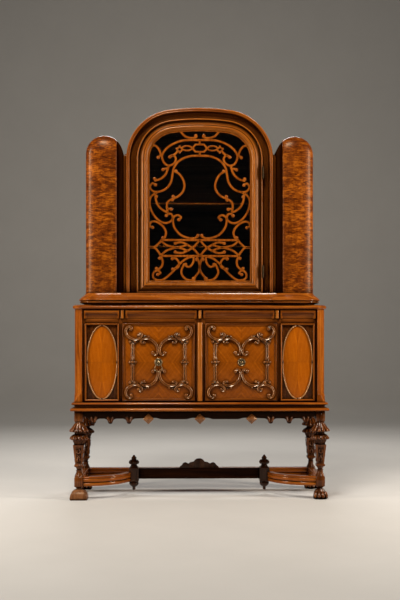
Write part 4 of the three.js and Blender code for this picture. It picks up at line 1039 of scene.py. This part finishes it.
LEAF = [(-1, 0), (-0.75, 0.55), (-0.3, 0.6), (0, 1), (0.3, 0.6), (0.75, 0.55), (1, 0)]


def leaf_rings(points, width, back, front, lean=0.0):
    """A carved leaf on the front face: a blade with a raised rib, pointed at its far end."""
    rings = []
    for p, tangent, share in smooth_path(points, 4):
        w = width * (math.sin(math.pi * (0.18 + 0.8 * share)) ** 0.8)
        rise = (front - back) * (1 - 0.5 * share)
        rings.append([(p.x - tangent.y * a * w, back + lean * share + rise * b, p.y + tangent.x * a * w)
                      for a, b in LEAF])
    return rings


def paw_shells(x, y):
    """A lion's paw that points forward: a furred ankle, a low pad and four toes with knuckles."""
    ankle = [(11, 57, -0.1), (14, 50, -0.1), (20, 43, -0.12), (27, 34, -0.1), (31, 22, 0), (33, 8, 0),
             (31, 0, 0)]
    shells = [lobed_rings(ankle, x, y + 5, 10, sides=80, radius=4)]
    length, half_toe = 58, 10.4
    for step, out in ((-27, 7), (-9.5, 0.5), (9.5, 0.5), (27, 7)):
        rings = []
        for i in range(15):
            t = i / 14
            middle = x + step * (0.55 + 0.45 * t)
            depth = y + 16 + out * t - length * t + 4 * math.sin(math.pi * t)
            height = 40 - 10 * t - 5 * math.sin(TURN * t * 0.9) - 14 * max(0, t - 0.75) / 0.25
            nail = math.sqrt(max(0.02, 1 - max(0, (t - 0.72) / 0.28) ** 2))
            half = half_toe * nail * (0.9 + 0.1 * math.cos(TURN * t))
            half_height = height / 2 * (half / half_toe if t > 0.72 else 1)
            toe = circle(middle, height / 2, half, 20, half_height)
            rings.append([(a, depth, max(0.4, b)) for a, b in toe])
        shells.append(rings)
    return shells


def worn_foot_shells(x, y):
    """The worn front foot: only a bevelled block is left of its paw."""
    block = [(38, 0), (41, 3), (41, 12), (38, 26), (32, 37), (24, 44), (17, 47), (13, 50), (12, 57)]
    return [square_rings(block, x, y, 7)]


def leg_carving(x, y):
    """The carving on a leg's face: leaves on the top block, and a twist and a bud in the sunk panel."""
    face = y - BLOCK
    carving = [leaf_rings([(x, 372), (x, 390), (x, 411)], 9, face + 0.5, face - 2.2)]
    for sign in (-1, 1):
        blade = [(x + sign * 4, 374), (x + sign * 13, 385), (x + sign * 12, 402)]
        stem = [(x + sign * 1.5, 178), (x + sign * 7, 190), (x - sign * 1, 204), (x - sign * 7, 216)]
        bud = [(x, 216), (x + sign * 8, 226), (x + sign * 4, 240)]
        carving += [leaf_rings(blade, 5, face + 0.5, face - 1.6),
                    leaf_rings(stem, 4.6, y - 16.5, y - 21, lean=-2.5),
                    leaf_rings(bud, 4.6, y - 20.5, y - 24.6, lean=-2.5)]
    return carving


def leg_shells(x, y):
    """A leg from its lower block up: vase, collar, tapered pillar, two carved rings and the top block."""
    vase = [(20.5, 105, -0.05), (21.5, 109, -0.1), (18, 117, -0.12), (14, 126, -0.12), (12.5, 134, -0.06),
            (15, 137, 0), (15, 139, 0)]
    pillar = [(16, 166, 0), (17, 171, 0), (17.3, 174, 3), (25, 246, 3), (25.4, 249, 0), (26, 258, 0),
              (24, 259, 0)]
    ring = [(30, 281, 0), (41, 283, 0.12), (45, 286, 0.2), (44, 291, 0.2), (38, 299, 0.18), (30, 305, 0.1),
            (24, 308, 0)]
    dome = [(26, 319, 0), (43, 320, 0.12), (47, 323, 0.22), (43.5, 330, 0.2), (35, 340, 0.18),
            (27, 351, 0.14), (21, 360, 0.1), (17, 366, 0)]
    bell = [(20, 256, -0.04), (23, 260, -0.1), (27, 270, -0.12), (32, 281, -0.1), (33, 284, 0)]
    block = [(13, 56), (14, 58), (19.3, 61), (BLOCK, 63), (BLOCK, 104), (19.5, 106), (17.5, 108)]
    top_block = [(16, 362), (17, 366), (19.8, 369), (BLOCK, 371), (BLOCK, 416.5), (19.5, 417.6)]
    shells = [
        square_rings(block, x, y),
        lobed_rings(vase, x, y, 12, sides=72),
        lobed_rings([(9.5, 138, 0), (10.5, 141, -0.08), (15, 150, -0.1), (18.5, 156, 0)], x, y, 12, sides=72),
        square_rings([(15, 153), (19.5, 155.5), (21, 158), (21, 163), (19, 166), (16.4, 168)], x, y, 3),
        panelled_rings(pillar, x, y),
        lobed_rings(bell, x, y, 16),
        lobed_rings(ring, x, y, 16, twist=0.085, sides=144),
        turned_rings([(27, 305), (22, 308), (21, 313), (23, 320), (30, 322)], x, y),
        lobed_rings(dome, x, y, 12, sides=144),
        square_rings(top_block, x, y),
    ]
    carving = leg_carving(x, y)
    return shells + [quarter_turned(rings, quarter, x, y) for quarter in range(4) for rings in carving]


for end, y in (("front", -LEG_Y), ("rear", LEG_Y)):
    for name, side in SIDES:
        worn = (end, name) == ("front", "left")
        x = side * LEG_X
        group(f"carved_leg_{end}_{name}", leg_shells(x, y), leg_wood, slot="dark_walnut", sharp=48,
              node=f"leg_{end}_{name}")
        foot, foot_wood = (worn_foot_shells, worn_wood) if worn else (paw_shells, leg_wood)
        group(f"foot_{end}_{name}", foot(x, y), foot_wood, slot="dark_walnut", sharp=48)

# Stretchers: bowed in front, straight at the sides and back.
RAIL_TOP, RAIL_BOTTOM = 108, 63
POST_X = 320
LEG_IN = LEG_X - BLOCK - 0.3
rail_upper = raised([(13, 0), (16, -1.2), (17, -5), (16.4, -9), (14.6, -10), (16.2, -12), (16.8, -18),
                     (16, -24), (14, -26.5), (11, -27.5)], RAIL_TOP)
rail_lower = raised([(11, 16), (14, 15), (16, 11), (16, 5), (13, 0)], RAIL_BOTTOM)
section = fillet(both_sides(rail_upper + rail_lower), 1.0, 2)
for name, side in SIDES:
    run, depth = LEG_IN - POST_X - 27, LEG_Y - 8
    radius = (run ** 2 + depth ** 2) / (2 * depth)
    sweep = math.asin(run / radius)
    rings = []
    for i in range(33):
        turn = sweep * i / 32
        rings.append([(side * (LEG_IN - (radius + a) * math.sin(turn)),
                       radius - LEG_Y - (radius + a) * math.cos(turn), z) for a, z in section])
    loft(f"bowed_stretcher_{name}", rings, stretcher_wood, node=f"stretcher_bow_{name}")
    reach = LEG_Y - BLOCK - 0.3
    rings = [[(side * LEG_X + a, y, z) for a, z in section] for y in (-reach, reach)]
    loft(f"side_stretcher_{name}", rings, stretcher_wood, node=f"stretcher_side_{name}")
    x = side * POST_X
    shaft = [(20, 59, 0), (24, 63, 0), (24, 67, 0), (24, 69, 1.6), (24, 121, 1.6), (24, 123, 0), (24, 127, 0),
             (20, 131, 0), (17, 134, 0)]
    urn = [(18, 132, 0), (16, 138, 0), (13.5, 142, 0), (15, 144, 0), (23, 147, 0.08), (26, 152, 0.14),
           (25.5, 158, 0.14), (20, 165, 0.1), (12, 168, 0), (10.5, 170, 0), (13.5, 174, 0), (12, 178, 0),
           (7, 183, 0), (5, 188, 0), (1, 191, 0)]
    drop = [(1, 17), (5, 18.5), (8, 23), (8, 27), (6, 31), (10, 35), (17, 39), (22, 46), (23.5, 53), (20, 60)]
    body = [panelled_rings(shaft, x, 0, 0.62), lobed_rings(urn, x, 0, 12), turned_rings(drop, x, 0, 48)]
    group(f"stretcher_post_and_finial_{name}", body, carved_wood, slot="dark_walnut",
          node=f"stretcher_post_{name}")
rings = [[(x, LEG_Y + a, z) for a, z in section] for x in (-LEG_IN, LEG_IN)]
loft("rear_stretcher", rings, stretcher_wood, node="stretcher_rear")

# The middle beam between the posts, with its shaped and carved crest.
low, high = span("stretcher_beam")
beam_half = raised([(8, 0), (11, 3), (11, 12), (8.5, 15), (8.5, 32), (11, 36)], low[2])
beam_half += [(11, high[2] - 3), (8, high[2])]
beam_section = fillet([(-8, low[2]), *beam_half, *mirrored(beam_half[1:], -1)[::-1]], 1, 2)
# The beam's near-black finish is a painted shadow.
loft("middle_beam", extruded(beam_section, (low[0], high[0])), shadowed_beam_wood, slot="dark_walnut",
     node="stretcher_beam")
low, high = span("stretcher_crest")
foot = low[2]
half_crest = [(96, 0), (95, 7), (86, 12), (80, 22), (70, 27), (60, 25), (53, 20), (44, 27), (31, 30)]
half_crest += circle(0, 27, 26, 36, 19)[1:10]
crest_outline = fillet(both_sides(raised(half_crest, foot)), 3, 3)


def crest(offset):
    return [(x * (1 - offset / 96), foot + (z - foot) * (1 - offset / 44)) for x, z in crest_outline]


shells = [stack(crest, ((high[1] - 1.5, 0), (low[1] + 2.5, 0), (low[1] + 1.6, 1.2)))]
front = low[1] + 1.6
back = front + 0.4
for side in (-1, 1):
    for tip, height in ((4, 44), (11, 40), (17, 33)):
        leaf = mirrored([(2, 8), (tip * 0.7, height * 0.55), (tip, height)], side)
        shells.append(leaf_rings(raised(leaf, foot), 4.2, back, front - 1.5))
    scroll = mirrored([(24, 6), (44, 8), (62, 17), (74, 20), (80, 12)], side)
    shells.append(scroll_rings(raised(scroll, foot), 4, back, front - 1.5))
    shells.append(dome_rings(side * 70, foot + 14, 5.5, back, front - 1.6))
group("carved_crest", shells, carved_wood, slot="dark_walnut", node="stretcher_crest")

# Aprons: heights are over the front apron's plain lower edge. Drops and bosses come at these distances.
APRON_BOTTOM, APRON_DROP = 379, -21
BOSS_X = 244
DROPS = (502, 423, 335)
low, high = span("apron_front")
APRON_TOP = high[2]


def front_apron(offset):
    right = [(LEG_IN, 14), (LEG_IN - 22, 10)]
    for x in DROPS:
        near = [(25, 3), (14, -3), (9, APRON_DROP + 3), (5, APRON_DROP)]
        right += [(x + dx, z) for dx, z in near + mirrored(near, -1)[::-1]]
    right += [(BOSS_X, 6), (BOSS_X - 40, 6), (BOSS_X - 60, 0), (60, 0), (40, 6)]
    outline = fillet(both_sides([(LEG_IN, APRON_TOP), *raised(right, APRON_BOTTOM)]), 7, 4)
    return [(x, min(z + offset, APRON_TOP)) for x, z in outline]


def boss_rings(x, z, face):
    """A four-sided pyramid that comes forward to a point, on a thin square-edged base."""
    diamond = fillet([(27, 0), (0, 25), (-27, 0), (0, -25)], 1.5, 2)
    steps = ((0, 1), (3, 1), (3.6, 0.97), (9, 0.58), (15, 0.10), (15.8, 0.02))
    return [[(x + dx * size, face + 1 - proud, z + dz * size) for dx, dz in diamond] for proud, size in steps]


face = low[1] + 16
shells = [stack(front_apron, ((high[1], 0), (face + 1.2, 0), (face, 0.8)))]
group("scalloped_apron", shells, apron_wood, slot="dark_walnut", node="apron_front")
leaves = []
for x in (side * drop for side in (-1, 1) for drop in DROPS):
    for lean in (-1, 1):
        leaf = [(x + lean * 13, 13), (x + lean * 8, 0), (x + lean * 2, APRON_DROP + 4)]
        leaves.append(leaf_rings(raised(leaf, APRON_BOTTOM), 8, face + 0.4, face - 5))
group("apron_leaves", leaves, leg_wood, slot="dark_walnut")
group("apron_bosses", [boss_rings(x, 381, face) for x in (-BOSS_X, 0, BOSS_X)], boss_wood, slot="dark_walnut")
low, high = span("apron_rear")
rear = box_rings(low[0], high[0], low[1], high[1], low[2], high[2], 1.5)
group("rear_apron", [rear], apron_wood, slot="dark_walnut", node="apron_rear")
for name, side in SIDES:
    low, high = span(f"apron_{name}")
    half = raised([(high[1], 12), (110, 0), (40, 0), (14, APRON_DROP + 10)], APRON_BOTTOM)
    profile = fillet(both_sides([(high[1], high[2]), *half]), 9, 4)
    loft(f"side_apron_{name}", extruded(profile, (low[0], high[0])), apron_wood, slot="dark_walnut",
         node=f"apron_{name}")


# ---------- Pulls ----------
def facing_front(rings):
    return [[(a, d, b) for a, b, d in ring] for ring in rings]


plate_low, plate_high = span("pull_plate_right")
for name, side in SIDES:
    low, high = span(f"pull_plate_{name}")
    x, z = (low[0] + high[0]) / 2, (plate_low[2] + plate_high[2]) / 2
    if side < 0:
        rose = raised([(18.6, 0, 0), (19, -1, 0.04), (17.5, -2.6, 0.06), (12, -4, 0.06), (8, -3.4, 0),
                       (6.5, -6, 0), (3, -8.2, 0), (0.5, -8.6, 0)], high[1])
        eye = fillet([(x - 3, z - 15), (x + 3, z - 15), (x + 3, z - 6), (x - 3, z - 6)], 2, 3)
        shells = [facing_front(lobed_rings(rose, x, z, 16, radius=1)),
                  [at_depth(eye, y) for y in (high[1] - 3, low[1] + 0.2)]]
    else:
        dish = raised([(18.6, 0), (19, -1.2), (17.8, -2.6), (15.8, -2.4), (14, -1.2), (6, -1.4), (5, -2.8),
                       (4, -4.6), (0.5, -5)], high[1])
        shells = [facing_front(turned_rings(dish, x, z, 48, 0.6))]
    group(f"brass_pull_plate_{name}", shells, brass, body=f"lower_door_{name}", slot="brass",
          node=f"pull_plate_{name}")
low, high = span("pull_ring_left")
ring_x, ring_z = middle_of(low, high)
wire = (high[1] - low[1]) / 2
wire_section = circle((high[0] - low[0]) / 2 - wire, (low[1] + high[1]) / 2, wire, 12)
rings = [[(ring_x + out * math.cos(t), y, ring_z + out * math.sin(t)) for out, y in wire_section]
         for t in (TURN * i / 56 for i in range(56))]
loft("drop_ring", rings, brass, closed=True, body="pull_ring_left", slot="brass", node="pull_ring_left")


# ---------- Kept frame nodes ----------
KEPT = {
    depth_wood: ("case_side_left", "case_side_right"),
    inside_wood: ("case_back", "upper_back", "dust_board", "cupboard_shelf"),
    glass: ("door_glass",),
    iron: ("lock_case", "pivot_hinge_bottom_left", "pivot_hinge_bottom_right", "pivot_hinge_top_left",
           "pivot_hinge_top_right"),
    brass: ("lock_bolt",),
}
for material, nodes in KEPT.items():
    for node in nodes:
        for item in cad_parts[node].material_slots:
            item.material = material


# ---------- Floor, light and camera ----------
def floor_material():
    pale = (0.52, 0.50, 0.47)
    n = Nodes("pale_floor")
    mottle = n.range(n.noise(n.place(), 2.5, 6.0, 0.6), 0.3, 0.7, 0.0, 0.25)
    return n.finish(None, Base_Color=n.mix(mottle, (*pale, 1.0), dimmed(pale, 0.8)), Roughness=0.8)


def sweep_floor(half_width=14, bend=4, radius=2, top=9):
    """A pale floor that turns up into a backdrop, in metres."""
    turns = [math.pi / 2 * k / 12 for k in range(1, 13)]
    profile = [(-half_width, 0), (bend, 0)]
    profile += [(bend + radius * math.sin(t), radius - radius * math.cos(t)) for t in turns]
    profile.append((bend + radius, top))
    mesh = bpy.data.meshes.new("floor")
    vertices = [(x, y, z) for y, z in profile for x in (-half_width, half_width)]
    mesh.from_pydata(vertices, [], [(i, i + 1, i + 3, i + 2) for i in range(0, 2 * len(profile) - 2, 2)])
    mesh.polygons.foreach_set("use_smooth", [True] * len(mesh.polygons))
    floor = bpy.data.objects.new("floor", mesh)
    bpy.context.scene.collection.objects.link(floor)
    mesh.materials.append(floor_material())


def area_light(name, place, target, size, power, colour=(1, 1, 1)):
    data = bpy.data.lights.new(name, "AREA")
    data.shape = "RECTANGLE"
    data.size, data.size_y = size
    data.energy = power
    data.color = colour
    lamp = bpy.data.objects.new(name, data)
    lamp.location = place
    lamp.rotation_euler = (Vector(target) - Vector(place)).to_track_quat("-Z", "Y").to_euler()
    bpy.context.scene.collection.objects.link(lamp)


sweep_floor()
WARM = (1, 0.90, 0.78)
area_light("key_above", (-0.7, -2.3, 4.4), (0, 0, 0.9), (1.2, 0.9), 160, (1, 0.96, 0.9))
area_light("strip_left", (-2.4, -0.9, 1.5), (0, 0, 1.0), (0.35, 1.9), 50, WARM)
area_light("strip_right", (2.4, -0.9, 1.5), (0, 0, 1.0), (0.35, 1.9), 66, WARM)
area_light("rear_rim", (0.0, 2.4, 3.0), (0, 0, 1.0), (2.0, 0.8), 70)
world = bpy.data.worlds.new("studio")
world.use_nodes = True
background = world.node_tree.nodes["Background"].inputs
background["Color"].default_value = (0.55, 0.57, 0.6, 1)
background["Strength"].default_value = 0.04
bpy.context.scene.world = world

camera = bpy.data.objects.new("camera", bpy.data.cameras.new("camera"))
camera.location = (-0.10, -4.79, 0.749)
camera.rotation_euler = (math.radians(90), 0, math.radians(-1.245))
camera.data.lens = 58.5
camera.data.shift_y = 0.0683
bpy.context.scene.collection.objects.link(camera)
bpy.context.scene.camera = camera
bpy.context.scene.view_settings.view_transform = "Standard"
